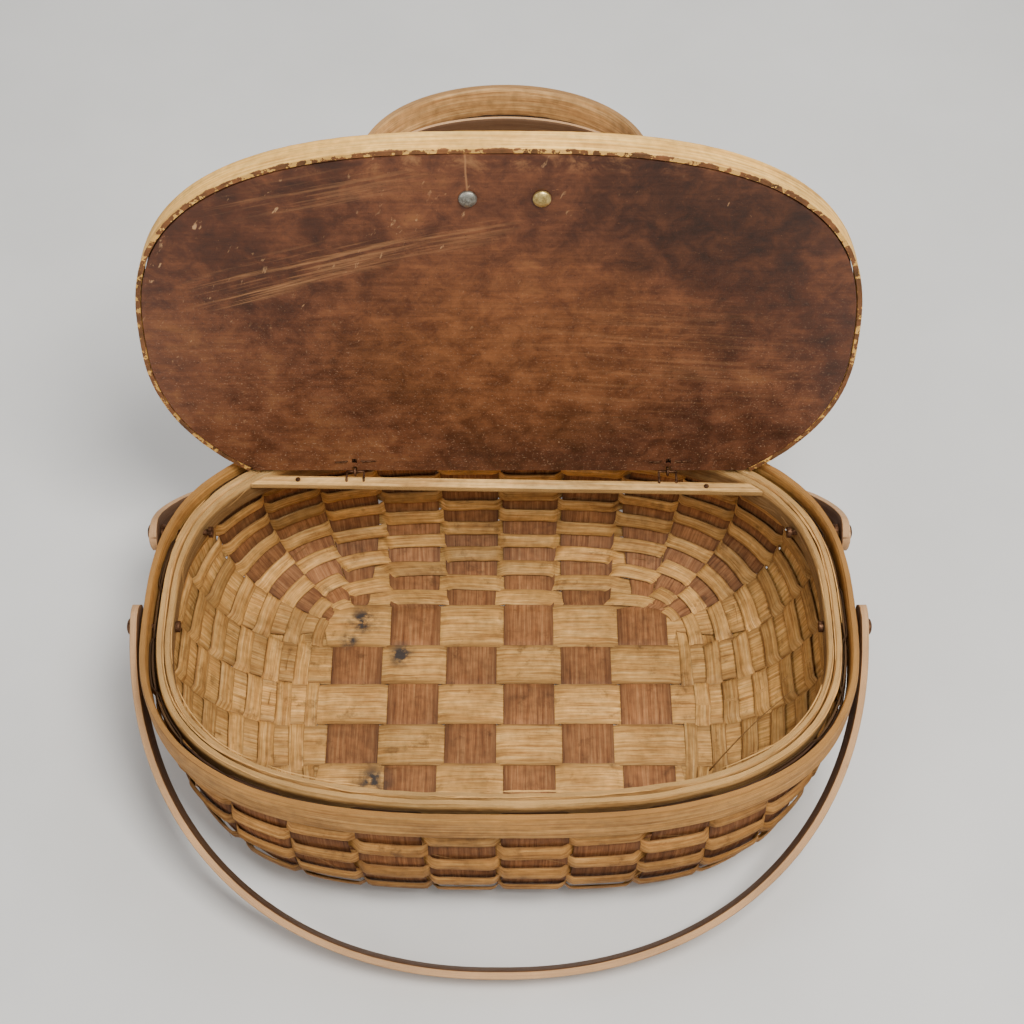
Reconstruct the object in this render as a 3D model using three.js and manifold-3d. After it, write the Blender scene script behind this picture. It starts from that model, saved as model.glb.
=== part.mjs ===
// Oval splint-woven sewing basket: woven body held between bent-wood rim hoops,
// a straight hinge rail across the back, a board lid with a bent-wood grip,
// and two bent-wood swing bails, one in front and one behind.
// Units are millimetres. +Z is up, +X runs along the width, +Y runs to the back.
// The origin is the middle of the flat woven base, where it stands on a table.
import * as THREE from 'three';
import { mergeVertices } from 'three/addons/utils/BufferGeometryUtils.js';
import Module from 'manifold-3d';

const wasm = await Module();
wasm.setup();

// ---- sizes -------------------------------------------------------------
const GAP = 0.35;            // clearance kept between touching pieces
const RIM_Z = 100;           // top of the outer rim hoop
const RIM_A = 178;           // half width of the outer rim hoop
const RIM_B = 118;           // half depth of the outer rim hoop
const RIM_N = 2.8;           // roundness of the oval (2 is an ellipse)
const BAND_T = 4;            // outer hoop thickness
const BAND_H = 20;           // outer hoop height
const HOOP_T = 3.6;          // each inner hoop thickness
const HOOP_H = 15.5;         // inner hoop height
const WALL_T = 3.3;          // woven wall thickness
const WALL_TOP = 95.2;       // woven wall stops a little below the hoops
const SEG = 96;              // points round each oval

const RAIL_Z0 = 95.2, RAIL_Z1 = 98.9;      // the hinge rail is a thin lath
const RAIL_HALF = 2.9;                     // half its width
const railY = (x) => 77.1 - 0.0202 * x;    // its middle line, set a little askew

const LID_T = 15;            // lid thickness
const LID_Z = 100.4;         // underside of the closed lid
const LID_A = 176.5, LID_B = 116.5;
const LID_EDGE_Y = 82;       // straight hinge edge of the lid
const LID_N_BACK = 2.2;      // the lid narrows more towards its hinge edge
const LID_BAND_T = 2.7;      // bent strip round the lid
const LID_OPEN = 99;         // opening angle where the lid leans on its stop
const AXIS_Y = 83.4, AXIS_Z = 100.9;       // hinge axis
const HINGE_X = [-76, 88];   // the two wire hinges
const WIRE_R = 0.75;

const GRIP_R = 62;           // outer rise of the grip arch
const GRIP_SX = 1.105;       // the arch is wider than a half circle by this much
const GRIP_T = 4;
const GRIP_W = 16;
const GRIP_Y = LID_EDGE_Y - 172;           // grip centre line on the closed lid
const GRIP_X = 3;
const SCREW_X = [-14, 20];

const STRAP_W = 18;          // bail strip width
const STRAP_T = 4.7;         // bail strip thickness
const TIP = 11;              // strip beyond the pivot
const FRONT = { y: -6, a: 184, b: 172, n: 2.2, tilt: 28.4 };
const REAR = { y: 52, a: 180.5, b: 132, n: 2.1, tilt: 38.75 };
const PIVOT_Z = 90;
const PIN_R = 1.5;

const rad = (d) => d * Math.PI / 180;
const group = new THREE.Group();
group.name = 'sewing_basket';

// ---- helpers -----------------------------------------------------------
function toManifold(geo) {
  const g = geo.index ? geo.clone() : geo.clone();
  g.deleteAttribute('normal');
  g.deleteAttribute('uv');
  const m = mergeVertices(g, 1e-4);
  return new wasm.Manifold(new wasm.Mesh({
    numProp: 3,
    vertProperties: new Float32Array(m.attributes.position.array),
    triVerts: new Uint32Array(m.index.array),
  }));
}
function toGeometry(man) {
  const mesh = man.getMesh();
  const n = mesh.vertProperties.length / mesh.numProp;
  const pos = new Float32Array(n * 3);
  for (let i = 0; i < n; i++) {
    for (let k = 0; k < 3; k++) pos[3 * i + k] = mesh.vertProperties[mesh.numProp * i + k];
  }
  const g = new THREE.BufferGeometry();
  g.setAttribute('position', new THREE.BufferAttribute(pos, 3));
  g.setIndex(new THREE.BufferAttribute(new Uint32Array(mesh.triVerts), 1));
  g.computeVertexNormals();
  return g;
}
const cut = (geo, ...tools) => {
  let m = toManifold(geo);
  for (const t of tools) m = m.subtract(toManifold(t));
  return toGeometry(m);
};
const join = (...geos) => {
  let m = toManifold(geos[0]);
  for (const t of geos.slice(1)) m = m.add(toManifold(t));
  return toGeometry(m);
};
const common = (a, b) => toGeometry(toManifold(a).intersect(toManifold(b)));

function add(name, geometry, color, roughness = 0.7, metalness = 0) {
  const m = new THREE.Mesh(geometry, new THREE.MeshStandardMaterial({ color, roughness, metalness }));
  m.name = name;
  group.add(m);
  return m;
}
const WOOD = 0xd9b67c, PALE = 0xe6cf9f, SPLINT = 0xc39358, BROWN = 0x6b3f24, BAIL = 0xb98f6a, STEEL = 0x8f8f8a, BRASS = 0xb59a4c;

// oval point at angle t
function ovalPoint(a, b, n, t) {
  const c = Math.cos(t), s = Math.sin(t);
  return [a * Math.sign(c) * Math.abs(c) ** (2 / n), b * Math.sign(s) * Math.abs(s) ** (2 / n)];
}
function oval(a, b, n = RIM_N, count = SEG) {
  const out = [];
  for (let i = 0; i < count; i++) {
    const p = ovalPoint(a, b, n, 2 * Math.PI * i / count);
    out.push(new THREE.Vector2(p[0], p[1]));
  }
  return out;
}
function plate(points, z0, z1, hole) {
  const s = new THREE.Shape(points);
  if (hole) s.holes.push(new THREE.Path(hole.slice().reverse()));
  const g = new THREE.ExtrudeGeometry(s, { depth: z1 - z0, bevelEnabled: false, steps: 1 });
  g.translate(0, 0, z0);
  return g;
}
function box(x0, x1, y0, y1, z0, z1) {
  const g = new THREE.BoxGeometry(x1 - x0, y1 - y0, z1 - z0);
  g.translate((x0 + x1) / 2, (y0 + y1) / 2, (z0 + z1) / 2);
  return g;
}
// round bar along X
function barX(r, x0, x1, y, z, seg = 20) {
  const g = new THREE.CylinderGeometry(r, r, Math.abs(x1 - x0), seg);
  g.rotateZ(Math.PI / 2);
  g.translate((x0 + x1) / 2, y, z);
  return g;
}
function barZ(r, z0, z1, x, y, seg = 20) {
  const g = new THREE.CylinderGeometry(r, r, z1 - z0, seg);
  g.rotateX(Math.PI / 2);
  g.translate(x, y, (z0 + z1) / 2);
  return g;
}
// domed head: profile turned about an axis, dome pointing along +Z from z=0
function dome(r, h, seg = 24) {
  const pts = [new THREE.Vector2(0, 0), new THREE.Vector2(r, 0), new THREE.Vector2(r, h * 0.25)];
  for (let i = 1; i < 6; i++) {
    const t = (i / 6) * Math.PI / 2;
    pts.push(new THREE.Vector2(r * Math.cos(t), h * 0.25 + h * 0.75 * Math.sin(t)));
  }
  pts.push(new THREE.Vector2(0, h));
  const g = new THREE.LatheGeometry(pts, seg);
  g.rotateX(Math.PI / 2);
  return g;
}

// ---- woven body --------------------------------------------------------
// each level: height, half width, half depth, roundness
const LEVELS = [
  [0, 108, 78, 4.6], [1.2, 119, 90, 4.2], [6, 131, 102, 3.8], [15, 144, 112, 3.5],
  [28, 155, 118, 3.3], [42, 163, 119.2, 3.1], [56, 168.3, 117.8, 2.98], [70, 171.6, 115.3, 2.88],
  [79, 173.55, 113.55, 2.8], [WALL_TOP, 173.55, 113.55, 2.8],
];
function wovenBody() {
  const rings = [];
  for (const [z, a, b, n] of LEVELS) rings.push({ z, pts: oval(a, b, n) });
  for (let i = LEVELS.length - 1; i >= 0; i--) {
    const [z, a, b, n] = LEVELS[i];
    const slope = i < 4 ? 1 : 0.4;
    rings.push({ z: i === LEVELS.length - 1 ? z : Math.max(z + WALL_T * (i < 4 ? 1 : 0.3), WALL_T), pts: oval(a - WALL_T * (i === 0 ? 1.6 : 1 + 0.35 * slope * (i < 5 ? 1 : 0)), b - WALL_T * (i === 0 ? 1.6 : 1 + 0.35 * slope * (i < 5 ? 1 : 0)), n) });
  }
  const pos = [], idx = [];
  for (const r of rings) for (const p of r.pts) pos.push(p.x, p.y, r.z);
  const N = SEG, M = rings.length;
  for (let k = 0; k < M - 1; k++) {
    for (let i = 0; i < N; i++) {
      const j = (i + 1) % N;
      const a = k * N + i, b = k * N + j, c = (k + 1) * N + j, d = (k + 1) * N + i;
      idx.push(a, b, c, a, c, d);
    }
  }
  const c0 = pos.length / 3; pos.push(0, 0, rings[0].z);
  const c1 = c0 + 1; pos.push(0, 0, rings[M - 1].z);
  for (let i = 0; i < N; i++) {
    const j = (i + 1) % N;
    idx.push(c0, j, i);
    idx.push(c1, (M - 1) * N + i, (M - 1) * N + j);
  }
  const g = new THREE.BufferGeometry();
  g.setAttribute('position', new THREE.BufferAttribute(new Float32Array(pos), 3));
  g.setIndex(idx);
  return g;
}
const pinHoles = () => [FRONT.y, REAR.y].map((y) => barX(PIN_R + 0.3, -190, 190, y, PIVOT_Z));

add('woven_body', cut(wovenBody(), ...pinHoles()), SPLINT, 0.8);

// ---- rim hoops ---------------------------------------------------------
function hoop(aOut, bOut, t, z0, z1) {
  return plate(oval(aOut, bOut), z0, z1, oval(aOut - t, bOut - t));
}
add('outer_rim_band', cut(hoop(RIM_A, RIM_B, BAND_T, RIM_Z - BAND_H, RIM_Z), ...pinHoles()), WOOD, 0.65);
const HA = RIM_A - BAND_T - 0.4 - WALL_T - 0.45;   // outer face of the first inner hoop
const HB = RIM_B - BAND_T - 0.4 - WALL_T - 0.45;
add('inner_rim_hoop', cut(hoop(HA, HB, HOOP_T, RIM_Z - 0.5 - HOOP_H, RIM_Z - 0.5), ...pinHoles()), PALE, 0.75);
add('inner_rim_liner', cut(hoop(HA - HOOP_T - 0.4, HB - HOOP_T - 0.4, HOOP_T - 0.2, RIM_Z - 1 - HOOP_H, RIM_Z - 1), ...pinHoles()), PALE, 0.75);
const LA = HA - HOOP_T - 0.4 - (HOOP_T - 0.2), LB = HB - HOOP_T - 0.4 - (HOOP_T - 0.2);

// ---- hinge rail --------------------------------------------------------
const railBlank = common(
  plate([[-160, -1], [160, -1], [160, 1], [-160, 1]].map(([x, e]) => new THREE.Vector2(x, railY(x) + e * RAIL_HALF)), RAIL_Z0, RAIL_Z1),
  plate(oval(LA - GAP, LB - GAP), RAIL_Z0 - 5, RAIL_Z1 + 5),
);
// wire staples of the hinges pass down through the rail, and it is notched
// behind them for the eyes of the lid
const stapleY = (hx) => Math.max(railY(hx), 77.5);
const railCuts = [];
for (const hx of HINGE_X) {
  for (const s of [-4.5, 4.5]) railCuts.push(box(hx + s - 1.1, hx + s + 1.1, stapleY(hx) - 1.1, stapleY(hx) + 1.1, RAIL_Z0 - 1, RAIL_Z1 + 1));
  railCuts.push(box(hx - 1.6, hx + 1.6, 79.9, 90, RAIL_Z0 - 1, RAIL_Z1 + 1));
}
const NAIL_X = [-106, 108];
const nailHoles = NAIL_X.map((x) => barZ(1.0, RAIL_Z1 - 3.3, RAIL_Z1 + 3, x, railY(x), 16));
add('hinge_rail', cut(railBlank, ...railCuts, ...nailHoles), PALE, 0.7);
NAIL_X.forEach((x, i) => {
  const shank = barZ(0.7, RAIL_Z1 - 3, RAIL_Z1 + 0.5, x, railY(x), 12);
  const head = barZ(1.3, RAIL_Z1 + 0.3, RAIL_Z1 + 0.8, x, railY(x), 16);
  add('rail_nail_' + (i ? 'right' : 'left'), join(shank, head), STEEL, 0.5, 0.8);
});

// ---- lid, drawn closed, then swung open about the hinge axis -----------
const lid = [];
function cutOval(a, b, yMax, count = 144) {
  const t0 = Math.asin(Math.min(1, (yMax / b)) ** (LID_N_BACK / 2));
  const out = [];
  // from the right end of the straight edge, round the front, to the left end
  for (let i = 0; i <= count; i++) {
    const t = t0 - (Math.PI + 2 * t0) * (i / count);
    const p = ovalPoint(a, b, Math.sin(t) > 0 ? LID_N_BACK : RIM_N, t);
    out.push(new THREE.Vector2(p[0], p[1]));
  }
  out[0].y = yMax; out[count].y = yMax;
  return out;
}
function bandLoop() {
  const outer = cutOval(LID_A, LID_B, LID_EDGE_Y, 96);
  const inner = cutOval(LID_A - LID_BAND_T, LID_B - LID_BAND_T, LID_EDGE_Y, 96).reverse();
  return outer.concat(inner);
}
const toTop = LID_Z + LID_T;
const lidCuts = [];
for (const hx of HINGE_X) {
  lidCuts.push(box(hx - 1.3, hx + 1.3, LID_EDGE_Y - 8.2, LID_EDGE_Y + 2, AXIS_Z + 0.2, AXIS_Z + 3.2));
  lidCuts.push(box(hx - 1.3, hx + 1.3, LID_EDGE_Y - 8.2, LID_EDGE_Y - 4.8, LID_Z - 1, AXIS_Z + 3.2));
  lidCuts.push(box(hx - 1.3, hx + 1.3, LID_EDGE_Y - 2.6, LID_EDGE_Y + 2, LID_Z - 1, AXIS_Z + 3.2));
}
for (const sx of SCREW_X) lidCuts.push(barZ(2.1, LID_Z - 1, toTop + 1, sx, GRIP_Y));
lid.push(add('lid_board', cut(plate(cutOval(LID_A - LID_BAND_T - GAP, LID_B - LID_BAND_T - GAP, LID_EDGE_Y, 96), LID_Z, toTop), ...lidCuts), BROWN, 0.6));
lid.push(add('lid_edge_band', plate(bandLoop(), LID_Z, toTop), WOOD, 0.65));

// wire eyes in the lid: a loop round the axis, a shank let into the board and
// two legs bent flat against the underside
HINGE_X.forEach((hx, i) => {
  const loop = new THREE.TorusGeometry(2.1, WIRE_R, 12, 28);
  loop.rotateY(Math.PI / 2);
  loop.translate(hx, AXIS_Y, AXIS_Z);
  const shank = box(hx - 0.8, hx + 0.8, LID_EDGE_Y - 7.3, AXIS_Y, AXIS_Z + 1.45, AXIS_Z + 2.85);
  const drop = box(hx - 0.8, hx + 0.8, LID_EDGE_Y - 7.3, LID_EDGE_Y - 5.7, LID_Z - 0.95, AXIS_Z + 2.85);
  const legs = box(hx - 11, hx + 11, LID_EDGE_Y - 7.3, LID_EDGE_Y - 5.7, LID_Z - 0.95, LID_Z - 0.3);
  lid.push(add('lid_hinge_eye_' + (i ? 'right' : 'left'), join(loop, shank, drop, legs), STEEL, 0.5, 0.8));
});

// bent-wood grip: an arch standing on the lid with its feet turned inwards
const gripBase = toTop + 0.3;
function gripOutline() {
  const cz = gripBase + GRIP_T + 2.7, ri = GRIP_R - GRIP_T, corner = 6.2;
  const s = new THREE.Shape();
  const N = 28, pts = [];
  const P = (x, z) => pts.push(new THREE.Vector2(x * GRIP_SX, z));
  // outer line from the right foot end, out, up and over to the left foot end
  P(3, gripBase);
  P(GRIP_R - corner, gripBase);
  for (let i = 1; i <= 6; i++) {
    const t = (i / 6) * Math.PI / 2;
    P(GRIP_R - corner + corner * Math.sin(t), gripBase + corner - corner * Math.cos(t));
  }
  for (let i = 1; i < N; i++) {
    const t = Math.PI * i / N;
    P(GRIP_R * Math.cos(t), cz + (GRIP_R) * Math.sin(t));
  }
  for (let i = 0; i <= 6; i++) {
    const t = (1 - i / 6) * Math.PI / 2;
    P(-(GRIP_R - corner + corner * Math.sin(t)), gripBase + corner - corner * Math.cos(t));
  }
  P(-3, gripBase);
  P(-3, gripBase + GRIP_T);
  const ci = corner - GRIP_T;
  for (let i = 0; i <= 4; i++) {
    const t = (i / 4) * Math.PI / 2;
    P(-(ri - ci + ci * Math.sin(t)), gripBase + GRIP_T + ci - ci * Math.cos(t));
  }
  for (let i = N - 1; i >= 1; i--) {
    const t = Math.PI * i / N;
    P(ri * Math.cos(t), cz + ri * Math.sin(t));
  }
  for (let i = 0; i <= 4; i++) {
    const t = (1 - i / 4) * Math.PI / 2;
    P(ri - ci + ci * Math.sin(t), gripBase + GRIP_T + ci - ci * Math.cos(t));
  }
  P(3, gripBase + GRIP_T);
  return pts;
}
function upright(points, w, x, y) {
  const g = new THREE.ExtrudeGeometry(new THREE.Shape(points), { depth: w, bevelEnabled: false, steps: 1 });
  g.rotateX(Math.PI / 2);
  g.translate(x, y + w / 2, 0);
  return g;
}
const gripHoles = SCREW_X.map((sx) => barZ(1.9, toTop - 2, gripBase + GRIP_T + 2, sx, GRIP_Y));
lid.push(add('lid_grip_bow', cut(upright(gripOutline(), GRIP_W, GRIP_X, GRIP_Y), ...gripHoles), WOOD, 0.65));
// thin inner bow sprung under the grip
{
  const z0 = gripBase + GRIP_T + 0.35, w = 9, t = 2.4;
  const a = (GRIP_R - GRIP_T - 2.7) * GRIP_SX, h = GRIP_R - 21;
  const pts = [];
  for (let i = 0; i <= 32; i++) {
    const u = Math.PI * i / 32;
    pts.push(new THREE.Vector2(a * Math.cos(u) , z0 + h * Math.sin(u) ));
  }
  for (let i = 32; i >= 0; i--) {
    const u = Math.PI * i / 32;
    pts.push(new THREE.Vector2((a - t) * Math.cos(u) , z0 + (h - t) * Math.sin(u) ));
  }
  const inner = upright(pts, w, GRIP_X, GRIP_Y);
  lid.push(add('lid_grip_inner_bow', inner, BAIL, 0.7));
}
SCREW_X.forEach((sx, i) => {
  const head = dome(4.3, 2.4);
  head.rotateX(Math.PI);
  head.translate(sx, GRIP_Y, LID_Z - 0.3);
  const shaft = barZ(1.5, LID_Z - 0.9, gripBase + GRIP_T + 1.6, sx, GRIP_Y, 16);
  lid.push(add(i ? 'grip_screw_brass' : 'grip_screw_steel', join(head, shaft), i ? BRASS : STEEL, 0.4, 0.8));
  const nut = barZ(3.4, gripBase + GRIP_T + 0.3, gripBase + GRIP_T + 2.4, sx, GRIP_Y, 24);
  lid.push(add(i ? 'grip_washer_right' : 'grip_washer_left', cut(nut, barZ(1.8, gripBase, gripBase + 12, sx, GRIP_Y, 16)), STEEL, 0.5, 0.8));
});
for (const m of lid) {
  m.geometry.translate(0, -AXIS_Y, -AXIS_Z);
  m.geometry.rotateX(rad(-LID_OPEN));
  m.geometry.translate(0, AXIS_Y, AXIS_Z);
}

// rail staples: a short bar on the axis, legs laid forward between rail and lid,
// down through the rail and bent over beneath it
HINGE_X.forEach((hx, i) => {
  const parts = [barX(WIRE_R, hx - 4.5 - WIRE_R, hx + 4.5 + WIRE_R, AXIS_Y, AXIS_Z, 12)];
  const yr = stapleY(hx);
  for (const s of [-4.5, 4.5]) {
    const x0 = hx + s - 0.75, x1 = hx + s + 0.75;
    parts.push(box(x0, x1, AXIS_Y - 0.75, AXIS_Y + 0.75, 99.15, AXIS_Z));
    parts.push(box(x0, x1, yr - 0.75, AXIS_Y + 0.75, 99.15, 100.1));
    parts.push(box(x0, x1, yr - 0.75, yr + 0.75, 93.5, 100.1));
    parts.push(box(x0, x1, yr - 0.75, yr + 4.5, 93.5, 94.8));
  }
  add('rail_hinge_staple_' + (i ? 'right' : 'left'), join(...parts), STEEL, 0.5, 0.8);
});

// ---- swing bails -------------------------------------------------------
// drawn flat: legs at x = +-a, bow towards +U; U becomes the lie of the bail
function bailGeometry({ y, a, b, n, tilt }, dir) {
  const outline = [];
  const N = 72;
  const edge = (A, B) => {
    const out = [];
    for (let i = 0; i <= N; i++) {
      const t = Math.PI * i / N;
      const p = ovalPoint(A, B, n, t);
      out.push(new THREE.Vector2(p[0], Math.max(0, p[1])));
    }
    return out;
  };
  const outer = edge(a, b), inner = edge(a - STRAP_T, b - STRAP_T);
  outline.push(new THREE.Vector2(a, -TIP), ...outer, new THREE.Vector2(-a, -TIP), new THREE.Vector2(-a + STRAP_T, -TIP), ...inner.reverse(), new THREE.Vector2(a - STRAP_T, -TIP));
  const flat = new THREE.ExtrudeGeometry(new THREE.Shape(outline), { depth: STRAP_W, bevelEnabled: false, steps: 1 });
  flat.translate(0, 0, -STRAP_W / 2);
  // rounded ends: a long slot shape seen along X
  const r = STRAP_W / 2 - 0.01;
  const side = new THREE.Shape();
  side.moveTo(b + 20, -STRAP_W / 2 - 1);
  side.lineTo(b + 20, STRAP_W / 2 + 1);
  side.lineTo(-TIP + r, STRAP_W / 2 + 1);
  side.lineTo(-TIP + r, r);
  for (let i = 1; i < 12; i++) {
    const t = Math.PI / 2 + Math.PI * i / 12;
    side.lineTo(-TIP + r + r * Math.cos(t), r * Math.sin(t));
  }
  side.lineTo(-TIP + r, -r);
  side.lineTo(-TIP + r, -STRAP_W / 2 - 1);
  const prof = new THREE.ExtrudeGeometry(side, { depth: 2 * a + 20, bevelEnabled: false, steps: 1 });
  // shape (U, W) extruded along X
  prof.applyMatrix4(new THREE.Matrix4().set(0, 0, 1, -a - 10, 1, 0, 0, 0, 0, 1, 0, 0, 0, 0, 0, 1));
  let g = common(flat, prof);
  g = cut(g, barX(PIN_R + 0.3, -a - 10, a + 10, 0, 0));
  // stand U along dir, strip width along Z, then tip it down to the table
  if (dir < 0) g.rotateZ(Math.PI);
  g.rotateX(dir < 0 ? rad(tilt) : rad(-tilt));
  g.translate(0, y, PIVOT_Z);
  return g;
}
add('front_bail', bailGeometry(FRONT, -1), BAIL, 0.7);
add('rear_bail', bailGeometry(REAR, 1), BAIL, 0.7);

// pivot pins: domed outside, clinched over a burr inside the hoops
function pin(name, spec, side, xIn) {
  const headX = spec.a + 0.3;
  const head = dome(4.2, 2.2);
  head.rotateY(Math.PI / 2);
  head.translate(headX, spec.y, PIVOT_Z);
  const shaft = barX(PIN_R, xIn - 1.2, headX + 0.6, spec.y, PIVOT_Z, 16);
  const burr = barX(2.9, xIn - 2.4, xIn - 0.4, spec.y, PIVOT_Z, 20);
  const g = join(head, shaft, burr);
  if (side < 0) { g.rotateZ(Math.PI); g.translate(0, 2 * spec.y, 0); }
  add(name, g, STEEL, 0.5, 0.8);
}
function washer(name, spec, side, x0, x1) {
  const g = cut(barX(4.4, x0, x1, spec.y, PIVOT_Z, 28), barX(PIN_R + 0.3, x0 - 1, x1 + 1, spec.y, PIVOT_Z));
  if (side < 0) { g.rotateZ(Math.PI); g.translate(0, 2 * spec.y, 0); }
  add(name, g, STEEL, 0.5, 0.8);
}
const edgeX = (a, b, y) => a * (1 - (Math.abs(y) / b) ** RIM_N) ** (1 / RIM_N);
for (const [label, s] of [['left', -1], ['right', 1]]) {
  pin('front_pivot_pin_' + label, FRONT, s, edgeX(LA, LB, Math.abs(FRONT.y) + 3));
  pin('rear_pivot_pin_' + label, REAR, s, edgeX(LA, LB, REAR.y + 3));
  washer('front_pivot_washer_' + label, FRONT, s, RIM_A + 0.3, FRONT.a - STRAP_T - 0.3);
  washer('rear_pivot_washer_' + label, REAR, s, edgeX(RIM_A, RIM_B, REAR.y - 4.4) + 0.35, REAR.a - STRAP_T - 0.3);
}

export default group;
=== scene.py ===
import bpy, math
import numpy as np
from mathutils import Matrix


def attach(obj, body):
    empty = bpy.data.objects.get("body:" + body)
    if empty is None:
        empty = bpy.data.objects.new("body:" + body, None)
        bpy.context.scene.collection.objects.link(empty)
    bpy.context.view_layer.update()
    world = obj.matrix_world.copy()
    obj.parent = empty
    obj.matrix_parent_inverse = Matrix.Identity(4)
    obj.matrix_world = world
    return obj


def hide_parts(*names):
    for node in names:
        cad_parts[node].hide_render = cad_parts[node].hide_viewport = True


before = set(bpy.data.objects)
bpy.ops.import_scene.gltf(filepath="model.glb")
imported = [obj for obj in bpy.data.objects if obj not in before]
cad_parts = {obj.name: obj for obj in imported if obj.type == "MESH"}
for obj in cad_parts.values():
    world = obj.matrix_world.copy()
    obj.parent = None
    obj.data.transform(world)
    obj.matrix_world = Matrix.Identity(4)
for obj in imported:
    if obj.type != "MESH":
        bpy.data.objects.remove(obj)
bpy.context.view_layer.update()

MM = 0.001
rng = np.random.default_rng(41)

# ---------------------------------------------------------------- sizes (mm)
RIM_A, RIM_B, RIM_N, RIM_Z = 178.0, 118.0, 2.8, 100.0
WALL_T = 3.3
LID_A, LID_B, LID_T, LID_Z, LID_EDGE_Y = 176.5, 116.5, 15.0, 100.4, 82.0
LID_OPEN, AX_Y, AX_Z = math.radians(99.0), 83.4, 100.9
HINGE_X = (-76.0, 88.0)
GRIP_Y, GRIP_X, GRIP_R, GRIP_T = LID_EDGE_Y - 172.0, 3.0, 62.0, 4.0
PIVOT_Z, STRAP_W, STRAP_T, TIP = 90.0, 18.0, 4.7, 11.0
FRONT = dict(y=-6.0, a=184.0, b=172.0, n=2.2, tilt=28.4, d=-1)
REAR = dict(y=52.0, a=180.5, b=132.0, n=2.1, tilt=38.75, d=1)
GRIP_SX = 1.105
RAIL_Z0, RAIL_Z1, RAIL_HALF = 95.2, 98.9, 2.9
def rail_y(x):
    return 77.1 - 0.0202 * x

# ---------------------------------------------------------------- smooth noise in numpy
def smooth_noise(x, seed, period=None):
    """value noise, -1..1, at positions x (cells of 1)"""
    r = np.random.default_rng(seed)
    tab = r.uniform(-1, 1, 512)
    x = np.asarray(x, float)
    i = np.floor(x).astype(int)
    f = x - i
    f = f * f * (3 - 2 * f)
    if period:
        a, b = tab[i % period], tab[(i + 1) % period]
    else:
        a, b = tab[i % 512], tab[(i + 1) % 512]
    return a * (1 - f) + b * f

# ---------------------------------------------------------------- mesh helpers
def make_object(name, verts, faces, uvs, attrs, mat, body, smooth=True):
    me = bpy.data.meshes.new(name)
    me.from_pydata([tuple(v) for v in (np.asarray(verts) * MM)], [], faces)
    me.update()
    if uvs is not None:
        uv = me.uv_layers.new(name="UVMap")
        loops = np.zeros(len(me.loops), dtype=np.int32)
        me.loops.foreach_get("vertex_index", loops)
        uv.data.foreach_set("uv", np.asarray(uvs)[loops].astype(np.float32).ravel())
    for key, val in (attrs or {}).items():
        at = me.attributes.new(key, 'FLOAT', 'POINT')
        at.data.foreach_set("value", np.asarray(val, dtype=np.float32).ravel())
    if smooth:
        me.polygons.foreach_set("use_smooth", np.ones(len(me.polygons), dtype=bool))
    me.materials.append(mat)
    ob = bpy.data.objects.new(name, me)
    bpy.context.scene.collection.objects.link(ob)
    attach(ob, body)
    return ob

def slab(name, mid, nrm, th, mat, body, closed=False, tone=0.5, tones=None, u0=0.0):
    """strip with thickness: mid and nrm are (I, J, 3) grids in mm, th is (I, J)."""
    I, J = mid.shape[:2]
    if body == 'basket':
        mid[..., 2] = np.maximum(mid[..., 2], 0.2 + np.abs(nrm[..., 2]) * th / 2)
    top = mid + nrm * (th[..., None] / 2)
    bot = mid - nrm * (th[..., None] / 2)
    verts = np.concatenate([top.reshape(-1, 3), bot.reshape(-1, 3)])
    jm = J // 2
    seg = np.linalg.norm(np.diff(mid[:, jm], axis=0), axis=1)
    u = np.concatenate([[0], np.cumsum(seg)]) / 10 + u0
    wd = np.linalg.norm(np.diff(mid, axis=1), axis=2)
    v = np.concatenate([np.zeros((I, 1)), np.cumsum(wd, axis=1)], axis=1)
    v = (v - v[:, jm:jm + 1]) / 10
    uv_top = np.stack([np.repeat(u[:, None], J, 1), v], -1).reshape(-1, 2)
    uv = np.concatenate([uv_top, uv_top + np.array([3.7, 11.3])])
    s = np.abs(np.linspace(-1, 1, J))[None, :].repeat(I, 0)
    edge = np.concatenate([s.ravel(), s.ravel()])
    side = np.concatenate([np.ones(I * J), np.zeros(I * J)])
    tn = np.full(I * J, tone) if tones is None else np.repeat(np.asarray(tones)[:, None], J, 1).ravel()
    tn = np.concatenate([tn, tn])
    faces = []
    B = I * J
    last = I if closed else I - 1
    for i in range(last):
        k = (i + 1) % I
        for j in range(J - 1):
            faces.append((i * J + j, i * J + j + 1, k * J + j + 1, k * J + j))
            faces.append((B + i * J + j, B + k * J + j, B + k * J + j + 1, B + i * J + j + 1))
        faces.append((i * J, k * J, B + k * J, B + i * J))
        faces.append((i * J + J - 1, B + i * J + J - 1, B + k * J + J - 1, k * J + J - 1))
    if not closed:
        for j in range(J - 1):
            faces.append((j, B + j, B + j + 1, j + 1))
            q = (I - 1) * J
            faces.append((q + j, q + j + 1, B + q + j + 1, B + q + j))
    sd = np.full(len(verts), (sum(ord(c) * (k + 3) for k, c in enumerate(name)) % 97) / 97.0)
    ob = make_object(name, verts, faces, uv, dict(edge=edge, side=side, tone=tn, seed=sd), mat, body)
    return ob

def set_sharp(ob, angle=50):
    """soft shading that keeps the strip's own corners crisp"""
    me = ob.data
    try:
        me.set_sharp_from_angle(angle=math.radians(angle))
    except Exception:
        pass

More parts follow.
